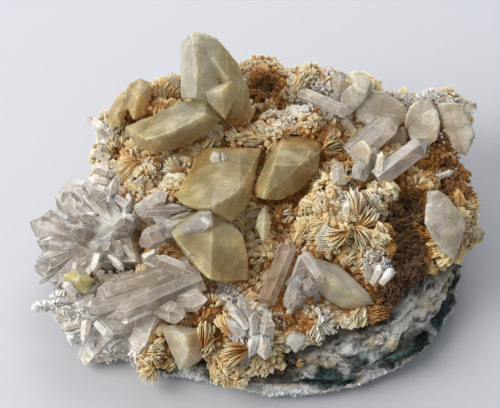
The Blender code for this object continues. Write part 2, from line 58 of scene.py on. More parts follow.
# The setting. The specimen stands on a plain pale table top, seen from in front and from
# fifty degrees above. A broad soft light stands on its left, with a weak one behind it, and
# the pale room fills the shadows.
MM = 0.001
MIDDLE = Vector((-1.26, 2.93, 17)) * MM
EYE_TILT = math.radians(50)
EYE_DISTANCE = 420 * MM
PICTURE_ACROSS = 125 * MM
PIXELS_ACROSS = 500
PIXELS_DOWN = 408
FILM_WIDTH = 36
TOWARD_EYE = Vector((0, -math.cos(EYE_TILT), math.sin(EYE_TILT)))
PICTURE_UP = Vector((0, math.sin(EYE_TILT), math.cos(EYE_TILT)))
EYE = MIDDLE + TOWARD_EYE * EYE_DISTANCE


def sight_line(column, row):
    """Where the eye looks at this place of the 500 by 408 picture."""
    pixel = PICTURE_ACROSS / PIXELS_ACROSS
    across = (column - PIXELS_ACROSS / 2) * pixel
    up = (PIXELS_DOWN / 2 - row) * pixel
    return (MIDDLE + Vector((across, 0, 0)) + PICTURE_UP * up - EYE).normalized()


def srgb(red, green, blue):
    """A display colour, 0 to 255, as the linear colour that a shader takes."""
    parts = [c / 255 for c in (red, green, blue)]
    linear = [c / 12.92 if c < 0.04045 else ((c + 0.055) / 1.055) ** 2.4 for c in parts]
    return (*linear, 1)


def new_object(name, mesh):
    made = bpy.data.objects.new(name, mesh)
    bpy.context.scene.collection.objects.link(made)
    return made


def table_top():
    bm = bmesh.new()
    bmesh.ops.create_grid(bm, x_segments=1, y_segments=1, size=2)
    bmesh.ops.translate(bm, vec=(0, 0, -0.1 * MM), verts=bm.verts)
    mesh = bpy.data.meshes.new("table_top")
    bm.to_mesh(mesh)
    bm.free()
    material = bpy.data.materials.new("pale_table")
    material.use_nodes = True
    surface = material.node_tree.nodes["Principled BSDF"]
    surface.inputs["Base Color"].default_value = srgb(188, 190, 195)
    surface.inputs["Roughness"].default_value = 0.6
    mesh.materials.append(material)
    new_object("table_top", mesh)


def soft_light(name, place, size, watts, color):
    light = bpy.data.lights.new(name, "AREA")
    light.size = size
    light.energy = watts
    light.color = color
    lamp = new_object(name, light)
    lamp.location = place
    lamp.rotation_euler = (Vector(place) - MIDDLE).to_track_quat("Z", "Y").to_euler()


def camera():
    view = bpy.data.cameras.new("camera")
    view.sensor_width = FILM_WIDTH
    view.lens = FILM_WIDTH * EYE_DISTANCE / PICTURE_ACROSS
    eye = new_object("camera", view)
    eye.location = EYE
    eye.rotation_euler = (math.pi / 2 - EYE_TILT, 0, 0)
    bpy.context.scene.camera = eye


def room(brightness):
    world = bpy.data.worlds.new("room")
    world.use_nodes = True
    sky = world.node_tree.nodes["Background"]
    sky.inputs["Color"].default_value = (0.92, 0.96, 1.0, 1)
    sky.inputs["Strength"].default_value = brightness
    bpy.context.scene.world = world


table_top()
camera()
room(0.38)
soft_light("window", (-0.5, -0.12, 0.45), 0.5, 5.2, (1.0, 0.985, 0.96))
soft_light("back_fill", (0.05, 0.45, 0.4), 0.4, 2.0, (0.98, 0.98, 1.0))
bpy.context.scene.view_settings.view_transform = "Standard"


# The rock. A slab of altered rock, broken round its side into thin ledges: a pale sugary
# rim at the foot, a dark green band over it, then cream and grey chips up to the crust.
# The crevices and the rock under the crust's overhang are painted darker as painted shade.
ROCK_GRAIN = 0.55 * MM
LEDGE_HEIGHT = 2.6
FOOT = 0.3
RIM_HEIGHT = 3.4
OVERHANG_SHADE = 4.5 * MM


def copy_of(node):
    """The solid's own mesh, with its doubled points merged."""
    bm = bmesh.new()
    bm.from_mesh(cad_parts[node].data)
    bmesh.ops.remove_doubles(bm, verts=bm.verts, dist=2e-6)
    return bm


def evaluated(bm, name, *modifiers):
    """A mesh after these modifiers, each (kind, settings)."""
    mesh = bpy.data.meshes.new(name)
    bm.to_mesh(mesh)
    bm.free()
    holder = new_object(name, mesh)
    for kind, settings in modifiers:
        modifier = holder.modifiers.new(kind.title(), kind)
        for key, value in settings.items():
            setattr(modifier, key, value)
    graph = bpy.context.evaluated_depsgraph_get()
    result = bpy.data.meshes.new_from_object(holder.evaluated_get(graph))
    bpy.data.objects.remove(holder)
    bpy.data.meshes.remove(mesh)
    result.name = name
    return result


def points_of(mesh):
    points = np.empty(len(mesh.vertices) * 3, np.float32)
    mesh.vertices.foreach_get("co", points)
    return points.reshape(-1, 3)


def normals_of(mesh):
    normals = np.empty(len(mesh.vertices) * 3, np.float32)
    mesh.vertex_normals.foreach_get("vector", normals)
    return normals.reshape(-1, 3)


def move_points(mesh, points):
    mesh.vertices.foreach_set("co", np.asarray(points, np.float32).ravel())
    mesh.update()


def set_attribute(mesh, name, values):
    """A number, or a vector, at each point, which a finish reads."""
    values = np.asarray(values, np.float32)
    kind, field = ("FLOAT_VECTOR", "vector") if values.ndim == 2 else ("FLOAT", "value")
    mesh.attributes.new(name, kind, "POINT").data.foreach_set(field, values.ravel())


def smooth_step(value):
    held = min(1.0, max(0.0, value))
    return held * held * (3 - 2 * held)


def chips(point, size):
    """Flat facets at random slopes, as where rock has chipped off: about -1 to 1."""
    scaled = point / size
    _, corners = noise.voronoi(scaled)
    slope = noise.noise_vector(corners[0] * 1.7)
    return 1.5 * slope.dot(scaled - corners[0]) + 0.6 * noise.noise(corners[0] * 2.3)


def rock_relief(point):
    """How far the broken side stands out at this point, both in millimetres."""
    wander = 3.4 * noise.noise(point * 0.055) + 1.1 * noise.noise(point * 0.25)
    layer = (point.z + wander) / LEDGE_HEIGHT
    level = math.floor(layer)
    step = layer - level
    along = Vector((point.x * 0.11, point.y * 0.11, level * 3.7))
    stands_out = 2.3 * noise.noise(along)
    edge = smooth_step(step * 5) * (1 - smooth_step((step - 0.75) * 5))
    flat = Vector((point.x, point.y, point.z * 1.7))
    rubble = 1.1 * chips(flat, 4.2) + 0.7 * chips(flat, 1.8)
    relief = stands_out * edge + 0.8 * edge + rubble - 1.1
    sugar = 0.35 * noise.noise(point * 1.3) - 0.2
    above_rim = smooth_step((point.z + 0.3 * wander - RIM_HEIGHT) * 2)
    return sugar + (relief - sugar) * above_rim


def dress(mesh, material, slot, *nodes):
    """A piece of this mesh and material rides on the specimen, in place of these nodes."""
    mesh.materials.append(material)
    piece = new_object(mesh.name, mesh)
    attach(piece, "root")
    if nodes:
        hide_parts(*nodes)


class Socket:
    """One output of a shader node, so that shader maths reads as arithmetic."""

    def __init__(self, tree, output):
        self.tree = tree
        self.output = output

    def maths(self, operation, *values):
        node = self.tree.nodes.new("ShaderNodeMath")
        node.operation = operation
        for slot, value in zip(node.inputs, values):
            plug(self.tree, slot, value)
        return Socket(self.tree, node.outputs[0])

    def __add__(self, other):
        return self.maths("ADD", self, other)

    def __sub__(self, other):
        return self.maths("SUBTRACT", self, other)

    def __rsub__(self, other):
        return self.maths("SUBTRACT", other, self)

    def __mul__(self, other):
        return self.maths("MULTIPLY", self, other)

    __rmul__ = __mul__

    def between(self, low, high):
        """0 below low, 1 above high, and smooth between them."""
        node = self.tree.nodes.new("ShaderNodeMapRange")
        node.interpolation_type = "SMOOTHSTEP"
        plug(self.tree, node.inputs["Value"], self)
        node.inputs["From Min"].default_value = low
        node.inputs["From Max"].default_value = high
        return Socket(self.tree, node.outputs["Result"])


def plug(tree, slot, value):
    if isinstance(value, Socket):
        tree.links.new(value.output, slot)
    else:
        slot.default_value = value


class Finish:
    """A material in the making: its nodes, and the surface that they feed."""

    def __init__(self, name):
        self.material = bpy.data.materials.new(name)
        self.material.use_nodes = True
        self.tree = self.material.node_tree
        self.surface = self.tree.nodes["Principled BSDF"]
        self.end = self.tree.nodes["Material Output"]
        self.place = self.node("ShaderNodeTexCoord", output="Object")

    def node(self, kind, settings=None, output=0, **values):
        made = self.tree.nodes.new(kind)
        for key, value in (settings or {}).items():
            setattr(made, key, value)
        for name, value in values.items():
            plug(self.tree, made.inputs[name.replace("_", " ")], value)
        return Socket(self.tree, made.outputs[output])

    def stretched(self, source, *scale):
        """A place scaled along its axes, to draw a pattern out along one of them."""
        made = self.node("ShaderNodeVectorMath", {"operation": "MULTIPLY"}, Vector=source)
        made.output.node.inputs[1].default_value = scale
        return made

    def grain(self, scale, detail=3, roughness=0.5, source=None):
        """Smooth noise, so many lumps to the metre of the place that it is read at."""
        return self.node(
            "ShaderNodeTexNoise",
            Vector=source or self.place,
            Scale=scale,
            Detail=detail,
            Roughness=roughness,
        )

    def coordinate(self, axis):
        return self.node("ShaderNodeSeparateXYZ", output=axis, Vector=self.place)

    def attribute(self, name, output="Fac"):
        return self.node("ShaderNodeAttribute", {"attribute_name": name}, output=output)

    def blend(self, share, first, second):
        return self.node(
            "ShaderNodeMix", {"data_type": "RGBA"}, "Result", Factor=share, A=first, B=second
        )

    def layers(self, color, *over):
        """A colour with others laid over it, each (share, red, green, blue)."""
        for share, *tint in over:
            color = self.blend(share, color, srgb(*tint))
        return color

    def bump(self, height, strength, distance):
        return self.node("ShaderNodeBump", Height=height, Strength=strength, Distance=distance)

    def set(self, **values):
        for name, value in values.items():
            plug(self.tree, self.surface.inputs[name.replace("_", " ")], value)

    def cloud_over(self, share, color, roughness, radius, depth, normal):
        """Mix the clear surface with a cloudy one that scatters light to this depth."""
        cloudy = self.node(
            "ShaderNodeBsdfPrincipled",
            output="BSDF",
            Base_Color=color,
            Roughness=roughness,
            Specular_IOR_Level=0.3,
            Subsurface_Weight=1.0,
            Subsurface_Radius=radius,
            Subsurface_Scale=depth,
            Normal=normal,
        )
        mixed = self.node("ShaderNodeMixShader", Fac=share)
        self.tree.links.new(self.surface.outputs["BSDF"], mixed.output.node.inputs[1])
        self.tree.links.new(cloudy.output, mixed.output.node.inputs[2])
        plug(self.tree, self.end.inputs["Surface"], mixed)

    def absorb(self, color, density):
        absorbed = self.node("ShaderNodeVolumeAbsorption", Color=color, Density=density)
        plug(self.tree, self.end.inputs["Volume"], absorbed)


def rock_finish():
    finish = Finish("altered_rock")
    level = finish.coordinate("Z") + finish.grain(60, 2) * (6 * MM) - 3 * MM
    raised = finish.attribute("raised")
    strata = finish.grain(210, 5, 0.62, finish.stretched(finish.place, 1, 1, 3.0))
    blotch = finish.grain(95, 3, 0.55)
    specks = finish.grain(1400, 3, 0.65)
    stone = finish.layers(
        srgb(94, 93, 88),
        (strata.between(0.4, 0.56), 224, 222, 214),
        (blotch.between(0.5, 0.6) * 0.65, 214, 196, 158),
        (specks.between(0.55, 0.7) * 0.55, 66, 66, 64),
    )
    green = finish.layers(
        srgb(16, 24, 25),
        (strata.between(0.42, 0.66), 74, 102, 100),
        (specks.between(0.62, 0.76) * 0.7, 150, 168, 166),
    )
    right_side = finish.coordinate("X").between(-18 * MM, 12 * MM) * 0.75 + 0.25
    band = level.between(4.2 * MM, 5.2 * MM) - level.between(8.4 * MM, 11.0 * MM)
    patchy = band * right_side * finish.grain(120, 3).between(0.36, 0.52)
    stone = finish.blend(patchy, stone, green)
    rim = finish.blend(specks.between(0.4, 0.62), srgb(168, 172, 172), srgb(226, 228, 226))
    stone = finish.blend(level.between(3.8 * MM, 4.6 * MM), rim, stone)
    # Painted shade: under the crust's overhang the rock is darkened to grey-brown.
    brown = finish.blend(strata.between(0.4, 0.6), srgb(52, 45, 38), srgb(128, 116, 100))
    stone = finish.blend(finish.attribute("painted_overhang_shade").between(0.1, 0.8), stone, brown)
    # Painted shade: the deepest crevices between the ledges are darkened nearly to black.
    stone = finish.blend(raised.between(-2.8, -0.6), srgb(40, 39, 37), stone)
    finish.set(Base_Color=stone, Roughness=0.8, Specular_IOR_Level=0.4)
    finish.set(Normal=finish.bump(finish.grain(1300, 4, 0.65), 0.7, 0.4 * MM))
    return finish.material


def rock():
    mesh = evaluated(
        copy_of("rock"), "broken_rock", ("REMESH", {"mode": "VOXEL", "voxel_size": ROCK_GRAIN})
    )
    points = points_of(mesh) / MM
    normals = normals_of(mesh)
    crust = BVHTree.FromBMesh(copy_of("bladed_crust"))
    raised = np.zeros(len(points))
    shaded = np.zeros(len(points))
    for i, (place, normal) in enumerate(zip(points, normals)):
        point = Vector(place)
        gap = crust.find_nearest(point * MM)[3]
        shaded[i] = 1 - min(1, gap / OVERHANG_SHADE)
        if point.z < FOOT:
            continue
        side = smooth_step((point.z - FOOT) / 1.0) * (1 - smooth_step((normal[2] - 0.8) * 6))
        out = Vector((normal[0], normal[1], normal[2] * 0.4))
        raised[i] = rock_relief(point)
        points[i] = point + out * (raised[i] * side)
        points[i][2] = max(points[i][2], FOOT)
    move_points(mesh, points * MM)
    set_attribute(mesh, "raised", raised)
    set_attribute(mesh, "painted_overhang_shade", shaded)
    dress(mesh, rock_finish(), "altered_rock", "rock")


rock()


# The honey calcite. Waxy yellow crystals with smooth, slightly bowed faces and soft growth
# lines along them. Light goes in and comes out scattered, and the finish paints what that
# would show: a painted highlight makes the edges paler than the middle, a painted glow makes
# the thin parts yellower, and the top of the left blade is painted paler, partly its own
# greyer colour and partly painted highlight. Rust from the crust shows through at the roots.
HONEY_CRYSTALS = [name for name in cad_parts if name.startswith("calcite_")]
MILKY_CRYSTALS = ("calcite_front_wedge", "calcite_lower_right", "calcite_spindle")
LEMON_CRYSTALS = ("calcite_far_left",)
CREASE = math.radians(26)
ROOT_DEPTH = 11
THIN_DEPTH = 4
STRIP_WIDTH = 1.9
STRIP_HEIGHT = 0.2
WORN_EDGE = 0.7
ENDS_FROM = 0.72


def crease_points(bm, spacing):
    """Points along the solid's sharp edges."""
    found = []
    for edge in bm.edges:
        if len(edge.link_faces) == 2 and edge.calc_face_angle() > CREASE:
            start, end = edge.verts[0].co, edge.verts[1].co
            steps = max(1, math.ceil((end - start).length / spacing))
            found += [start.lerp(end, k / steps) for k in range(steps + 1)]
    tree = kdtree.KDTree(len(found))
    for i, point in enumerate(found):
        tree.insert(point, i)
    tree.balance()
    return tree


def crystal_skin(node, name, grain, bow, chipping, ragged, line_pitch, terraces, teeth):
    """The solid with worn edges, faces that bow, cleavage strips along it and toothed ends.

    Sizes are in millimetres. The skin keeps how near each point is to an edge and to the
    crust, how thin the crystal is there, and the place along and across the crystal.
    """
    bm = copy_of(node)
    creases = crease_points(bm, 0.4 * MM)
    solid = BVHTree.FromBMesh(bm)
    mesh = evaluated(
        bm,
        name,
        ("REMESH", {"mode": "VOXEL", "voxel_size": grain * MM}),
        ("SMOOTH", {"factor": 0.5, "iterations": 1}),
    )
    points = points_of(mesh) / MM
    normals = normals_of(mesh)
    middle = points.mean(0)
    _, axes = np.linalg.eigh(np.cov((points - middle).T))
    axes = axes[:, ::-1]
    growth = (points - middle) @ axes
    half_length = np.abs(growth[:, 0]).max()
    edge = np.zeros(len(points))
    root = np.zeros(len(points))
    thin = np.zeros(len(points))
    for i, (place, normal) in enumerate(zip(points, normals)):
        point = Vector(place)
        inward = Vector(-normal)
        edge[i] = math.exp(-(creases.find(point * MM)[2] / MM / WORN_EDGE))
        through_to = solid.ray_cast((point + inward * 0.4) * MM, inward)[3] or 0
        thin[i] = math.exp(-through_to / MM / THIN_DEPTH)
        root[i] = 1 - min(1, crust_solid.find_nearest(point * MM)[3] / MM / ROOT_DEPTH)
        along, side, through = growth[i]
        lines = noise.noise(Vector((along * 0.06, side / line_pitch, through / line_pitch)))
        chip = max(0.0, noise.noise(point * 0.9) + 0.5 * noise.noise(point * 2.3))
        terrace = math.floor(5 * noise.noise(point * 0.11) + 0.8 * noise.noise(point * 0.5))
        strip = math.floor(side / STRIP_WIDTH + 0.7 * noise.noise(point * 0.1))
        own = noise.noise(Vector((strip * 3.3, middle[0], 0.5)))
        at_end = smooth_step((abs(along) / half_length - ENDS_FROM) / 0.28)
        move = bow * noise.noise(point * 0.08) + 0.05 * lines - chipping * chip * edge[i]
        move += terraces * terrace + STRIP_HEIGHT * own
        outward = axes @ np.array((along, side, 0)) / max(1e-3, math.hypot(along, side))
        notch = abs(noise.noise(point * 0.4)) + 0.6 * max(0.0, noise.noise(point * 1.5))
        points[i] += normal * move - outward * (ragged * notch * edge[i])
        points[i] -= axes[:, 0] * (math.copysign(teeth, along) * at_end * (own + 0.5))
    move_points(mesh, points * MM)
    set_attribute(mesh, "edge", edge)
    set_attribute(mesh, "root", root)
    set_attribute(mesh, "thin", thin)
    set_attribute(mesh, "growth", growth)
    mesh.shade_smooth()
    return mesh


def honey_finish(name, deep, light, cloudiness, rust):
    """Calcite of these two colours, so cloudy and so rusty at its root."""
    finish = Finish(name)
    growth = finish.attribute("growth", "Vector")
    lines = finish.grain(1, 4, 0.6, finish.stretched(growth, 0.07, 2.2, 2.2))
    cloud = finish.grain(75, 3, 0.5)
    veils = finish.grain(210, 3, 0.5)
    # Painted glow: where the crystal is thin it is tinted light yellow, as if lit through.
    thin = finish.attribute("thin")
    root = finish.attribute("root") + cloud * 0.5 - 0.25
    # The top of the left blade is painted paler and greyer: partly its own colour, partly painted
    # highlight.
    left_blade = 1 - finish.coordinate("X").between(-12 * MM, -6 * MM)
    top = finish.coordinate("Z").between(27 * MM, 40 * MM) * left_blade
    # Painted highlight: a pale line along the edges, also a little cloudier.
    rim = finish.attribute("edge").between(0.55, 1.0)
    body = finish.layers(
        srgb(*deep),
        (cloud.between(0.3, 0.7), *light),
        (top * 0.9, 216, 218, 208),
        (lines.between(0.42, 0.66) * 0.4, 178, 154, 102),
        (veils.between(0.5, 0.75) * 0.4, 232, 226, 204),
        (thin.between(0.2, 0.8) * 0.45, 236, 218, 144),
        (root.between(0.35, 1.0) * rust, 214, 152, 56),
        (rim * 0.3, 244, 238, 212),
    )
    bump = finish.bump(lines, 0.6, 0.3 * MM)
    finish.set(
        Base_Color=srgb(255, 248, 226),
        Roughness=finish.grain(500, 2).between(0.3, 0.8) * 0.1 + 0.16,
        IOR=1.58,
        Transmission_Weight=1.0,
        Normal=bump,
    )
    share = veils.between(0.35, 0.65) * 0.25 + root.between(0.3, 1.0) * 0.1
    share = share + rim * 0.12 + cloudiness
    finish.cloud_over(share, body, 0.35, (1.0, 0.82, 0.5), 5 * MM, bump)
    finish.absorb(srgb(250, 232, 176), 45)
    return finish.material


crust_solid = BVHTree.FromBMesh(copy_of("bladed_crust"))
honey = honey_finish("honey_calcite", (172, 154, 100), (197, 185, 140), 0.38, 0.5)
milky = honey_finish("milky_calcite", (212, 204, 180), (232, 229, 216), 0.4, 0.2)
lemon = honey_finish("lemon_calcite", (208, 196, 136), (228, 222, 180), 0.45, 0.3)
own_finish = {name: milky for name in MILKY_CRYSTALS} | {name: lemon for name in LEMON_CRYSTALS}
for name in HONEY_CRYSTALS:
    skin = crystal_skin(
        name, f"honey_{name}", grain=0.22, bow=0.4, chipping=0.35, ragged=0.5, line_pitch=0.9,
        terraces=0, teeth=1.1,
    )
    dress(skin, own_finish.get(name, honey), "honey_calcite", name)


# The pale plates. Thick calcite plates on edge along the right-hand side, milky and a
# little rough, with ragged rims and faint lines that follow them. A pale line along their
# edges is a painted highlight, and the plate at the right front is painted darker and
# greyer, partly its own colour and partly painted shade.
PALE_PLATES = [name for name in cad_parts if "plate" in name or "disc" in name]


def pale_finish(name, dull, bright):
    finish = Finish(name)
    cloud = finish.grain(120, 4, 0.6)
    dust = finish.grain(420, 4, 0.6)
    growth = finish.attribute("growth", "Vector")
    bands = finish.grain(1, 3, 0.6, finish.stretched(growth, 0.12, 0.5, 1.6))
    # Painted highlight: a pale line along the plates' edges, which also makes them cloudier.
    rim = finish.attribute("edge").between(0.6, 1)
    color = finish.layers(
        srgb(*dull),
        (cloud.between(0.35, 0.65), *bright),
        (bands.between(0.48, 0.6) * 0.35, 210, 196, 156),
        (dust.between(0.6, 0.76) * 0.5, 186, 156, 112),
        (finish.attribute("root").between(0.3, 1) * 0.85, 198, 154, 82),
        (rim * 0.8, 248, 246, 238),
    )
    bump = finish.bump(bands + 0.5 * finish.grain(1100, 4, 0.6), 0.35, 0.4 * MM)
    finish.set(
        Base_Color=srgb(255, 253, 248),
        Roughness=0.16,
        IOR=1.58,
        Transmission_Weight=1.0,
        Normal=bump,
    )
    share = cloud.between(0.35, 0.65) * 0.3 + rim * 0.3 + 0.34
    finish.cloud_over(share, color, 0.3, (1.0, 0.9, 0.75), 2.5 * MM, bump)
    finish.absorb(srgb(253, 242, 210), 25)
    return finish.material


pale = pale_finish("pale_calcite", (220, 214, 196), (241, 239, 230))
# The plate at the right front gets a darker, greyer copy of the finish: partly its own greyer
# colour, partly painted shade.
grey = pale_finish("grey_calcite", (182, 178, 166), (210, 207, 198))
for name in PALE_PLATES:
    skin = crystal_skin(
        name, f"pale_{name}", grain=0.25, bow=0.35, chipping=0.2, ragged=1.5, line_pitch=1.2,
        terraces=0.12, teeth=0,
    )
    dress(skin, grey if name == "plate_right_front" else pale, "pale_calcite", name)


# The quartz. Clear six-sided prisms with a faint rosy-grey cast, fine lines across their
# side faces and cloudy roots. Slim ones lie along the big ones in bundles, and grow out of
# the same middle. A pale rim along the edges of each face is a painted highlight.
QUARTZ_GROUPS = [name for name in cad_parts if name.startswith("quartz_")]
SPRAY_MIDDLE = Vector((-34, -5, 10)) * MM
# On these groups: how many slimmer prisms, and their widths and lengths in millimetres.
SLIM_PRISMS = {
    "quartz_spray_left": (130, (0.8, 2.2), (4, 9)),
    "quartz_blocks_front_left": (24, (1.4, 3.0), (3, 6)),
}
BLOCKS_MIDDLE = Vector((-36, -24, 13)) * MM
CLOUDY_DEPTH = 5 * MM
MILKY_FOOT = 11 * MM
BLOCKS_CLEARNESS = 0.6
WORN_CORNER = 0.1 * MM
PALE_RIM = 0.22 * MM
RIM_SHARE = 0.07
SMALLEST_RIMMED = 1.5e-6
RIM_TRIES = (1, 0.4, 0.15)
SMALLEST_FOLD = 1e-8
LIES_FLAT = 0.9


def add_growth_lines(bm):
    """A map on each face that runs along its longest edge, for lines that follow it."""
    layer = bm.loops.layers.uv.new("growth")
    for face in bm.faces:
        edge = max(face.edges, key=lambda e: e.calc_length())
        along = (edge.verts[1].co - edge.verts[0].co).normalized()
        across = face.normal.cross(along)
        for loop in face.loops:
            loop[layer].uv = (loop.vert.co.dot(along) / MM, loop.vert.co.dot(across) / MM)


def unfolded(bm, faces, width):
    """Those of the faces that a strip of this width fits round, found out on a copy."""
    trial = bm.copy()
    mark = trial.faces.layers.int.new("mark")
    trial.faces.ensure_lookup_table()
    bm.faces.index_update()
    tried = [trial.faces[face.index] for face in faces]
    for number, face in enumerate(tried):
        face[mark] = number + 1
    bmesh.ops.inset_individual(trial, faces=tried, thickness=width, use_even_offset=False)
    bmesh.ops.triangulate(trial, faces=trial.faces, ngon_method="EAR_CLIP")
    trial.normal_update()
    folded = set()
    for piece in trial.faces:
        number = piece[mark] - 1
        if number >= 0 and piece.calc_area() > SMALLEST_FOLD:
            if piece.normal.dot(faces[number].normal) < LIES_FLAT:
                folded.add(number)
    trial.free()
    return [face for number, face in enumerate(faces) if number not in folded]


def add_pale_rims(bm, width, smallest):
    """A narrow strip round each face larger than this: 1 at its outer points, 0 at the others."""
    # The strip carries a painted highlight: the finishes paint it pale.
    edge = bm.verts.layers.float.new("edge")
    for vert in bm.verts:
        vert[edge] = 1
    bm.normal_update()
    left = [face for face in bm.faces if face.calc_area() > smallest]
    before = set(bm.verts)
    for share in RIM_TRIES:
        fit = unfolded(bm, left, width * share)
        bmesh.ops.inset_individual(bm, faces=fit, thickness=width * share, use_even_offset=False)
        left = [face for face in left if face not in fit]
    for vert in bm.verts:
        if vert not in before:
            vert[edge] = 0
    return [vert[edge] for vert in bm.verts]


def faceted_copy(node, merge_angle):
    """The solid with its flat faces whole again."""
    bm = copy_of(node)
    bmesh.ops.dissolve_limit(
        bm, angle_limit=merge_angle, verts=bm.verts, edges=bm.edges, use_dissolve_boundaries=False
    )
    add_growth_lines(bm)
    add_pale_rims(bm, PALE_RIM, SMALLEST_RIMMED)
    return bm


def triangles_of(bm):
    """The points and the triangles of a small shape, to be repeated."""
    bmesh.ops.triangulate(bm, faces=bm.faces)
    bm.verts.index_update()
    points = np.array([v.co[:] for v in bm.verts], np.float32)
    faces = np.array([[v.index for v in f.verts] for f in bm.faces], np.int32)
    bm.free()
    return points, faces


class Heap:
    """Many small bodies that become one mesh, with a number at each point for its finish."""

    def __init__(self):
        self.points = []
        self.faces = []
        self.values = {}
        self.growth = []
        self.count = 0

    def add(self, points, faces, growth=None, **values):
        self.points.append(points)
        self.faces.append(faces + self.count)
        self.count += len(points)
        if growth is not None:
            self.growth.append(growth)
        for name, value in values.items():
            self.values.setdefault(name, []).append(np.broadcast_to(value, len(points)))

    def mesh(self, name):
        points = np.concatenate(self.points)
        faces = np.concatenate(self.faces)
        mesh = bpy.data.meshes.new(name)
        mesh.vertices.add(len(points))
        mesh.vertices.foreach_set("co", points.astype(np.float32).ravel())
        mesh.loops.add(faces.size)
        mesh.loops.foreach_set("vertex_index", faces.ravel())
        mesh.polygons.add(len(faces))
        mesh.polygons.foreach_set("loop_start", np.arange(0, faces.size, 3))
        mesh.update(calc_edges=True)
        mesh.shade_flat()
        if self.growth:
            layer = mesh.uv_layers.new(name="growth")
            places = np.concatenate(self.growth)[faces.ravel()]
            layer.data.foreach_set("uv", places.astype(np.float32).ravel())
        for key, value in self.values.items():
            set_attribute(mesh, key, np.concatenate(value))
        return mesh


def prism_body(rng, width, length, rim):
    """A six-sided prism in millimetres, a little lopsided, with pale rims on its faces.

    Gives back its points, its triangles and how near an edge each point is.
    """
    bm = bmesh.new()
    bmesh.ops.create_cone(
        bm,
        cap_ends=True,
        segments=6,
        radius1=width / 2,
        radius2=width * rng.uniform(0.36, 0.48),
        depth=length,
    )
    top = max(bm.faces, key=lambda f: f.calc_center_median().z)
    tip = bmesh.ops.poke(bm, faces=[top])["verts"][0]
    squash = rng.uniform(0.55, 1)
    for vert in bm.verts:
        vert.co.y *= squash
        vert.co.z += length / 2
        if vert != tip and vert.co.z > length / 2:
            vert.co.z -= width * rng.uniform(0.25, 0.7)
    edges = [0]
    if rim:
        edges = add_pale_rims(bm, rim, 0)
    points, faces = triangles_of(bm)
    return points, faces, np.broadcast_to(edges, len(points))


def add_prism(heap, rng, body, root, direction, scale=1, clearness=1):
    """One small prism from its root along a direction, clearer toward its tip."""
    points, faces, edge = body
    turn = direction.to_track_quat("Z", "Y").to_matrix() @ Matrix.Rotation(
        rng.uniform(0, math.tau), 3, "Z"
    )
    placed = points @ np.array(turn).T * (scale * MM) + np.array(root)
    growth = points[:, [2, 0]] * scale + np.array(root.xy) / MM
    height = np.clip(points[:, 2] / points[:, 2].max(), 0, 1)
    heap.add(placed, faces, growth=growth, rooted=1 - clearness * height, edge=edge)


def loose_way(rng):
    return Vector([rng.uniform(-1, 1) for _ in range(3)])


def quartz_finish(name, clearest, cloudiest, dull, bright, depth):
    """Quartz with milky veils: the first two numbers say how milky its tips and roots are."""
    finish = Finish(name)
    growth = finish.node("ShaderNodeUVMap", {"uv_map": "growth"})
    lines = finish.grain(1, 2, 0.5, finish.stretched(growth, 2.4, 0.1, 1))
    streaks = finish.grain(1, 3, 0.6, finish.stretched(growth, 0.1, 1.5, 1))
    veils = finish.grain(230, 4, 0.6)
    bump = finish.bump(lines + 0.5 * finish.grain(700, 3), 0.22, 0.3 * MM)
    finish.set(
        Base_Color=(1.0, 1.0, 1.0, 1),
        Roughness=finish.grain(1400, 2).between(0.3, 0.9) * 0.08 + 0.02,
        IOR=1.544,
        Transmission_Weight=1.0,
        Normal=bump,
    )
    stains = finish.grain(70, 3, 0.55)
    # Painted highlight: the pale rims along the faces' edges are painted bright and made
    # cloudier.
    edge = finish.attribute("edge")
    flecks = finish.grain(900, 3, 0.6).between(0.58, 0.68)
    cloud = finish.layers(
        srgb(*dull),
        (veils.between(0.4, 0.66), *bright),
        (stains.between(0.5, 0.64) * 0.35, 214, 198, 148),
        (streaks.between(0.5, 0.8) * 0.3, 182, 158, 138),
        (edge * 0.7 + flecks * 0.4, *bright),
    )
    rooted = finish.attribute("rooted") + (veils - 0.5) * 0.9
    share = rooted.between(0, 1) * (cloudiest - clearest) + edge * 0.22 + clearest
    share = share + streaks.between(0.35, 0.75) * 0.12 + flecks * 0.16 - 0.04
    finish.cloud_over(share, cloud, 0.14, (1.0, 0.92, 0.86), depth, bump)
    finish.absorb(srgb(228, 202, 172), 50)
    return finish.material


def surface_samples(name, rng, count):
    """Points spread over a node's faces by area, with their normals."""
    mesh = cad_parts[name].data
    mesh.calc_loop_triangles()
    areas = [t.area for t in mesh.loop_triangles]
    for triangle in rng.choices(mesh.loop_triangles, areas, k=count):
        a, b, c = (mesh.vertices[i].co for i in triangle.vertices)
        u, v = sorted((rng.random(), rng.random()))
        yield a * u + b * (v - u) + c * (1 - v), triangle.normal.copy()


def bundle_way(name, place, normal):
    """The way that slim prisms point on this group."""
    if name == "quartz_spray_left":
        return (place - SPRAY_MIDDLE).normalized()
    return ((place - BLOCKS_MIDDLE).normalized() + normal * 0.4).normalized()


def slim_prisms():
    """Sheaves of slimmer prisms that lie along the left-hand quartz, half sunk in it."""
    rng = random.Random(5)
    heap = Heap()
    for name, (count, widths, lengths) in SLIM_PRISMS.items():
        for place, normal in surface_samples(name, rng, count):
            if normal.z < -0.4:
                continue
            width, length = rng.uniform(*widths), rng.uniform(*lengths)
            way = bundle_way(name, place, normal)
            flat = way - normal * way.dot(normal)
            sunk = 0.85
            if flat.length > 0.4:
                way = flat.normalized() + normal * 0.12
                sunk = 0.7
            way = (way + loose_way(rng) * 0.06).normalized()
            below = normal * (width * rng.uniform(0.15, 0.35))
            root = place - (way * (length * sunk) + below) * MM
            add_prism(heap, rng, prism_body(rng, width, length, width * RIM_SHARE), root, way)
    return heap.mesh("slim_prisms")


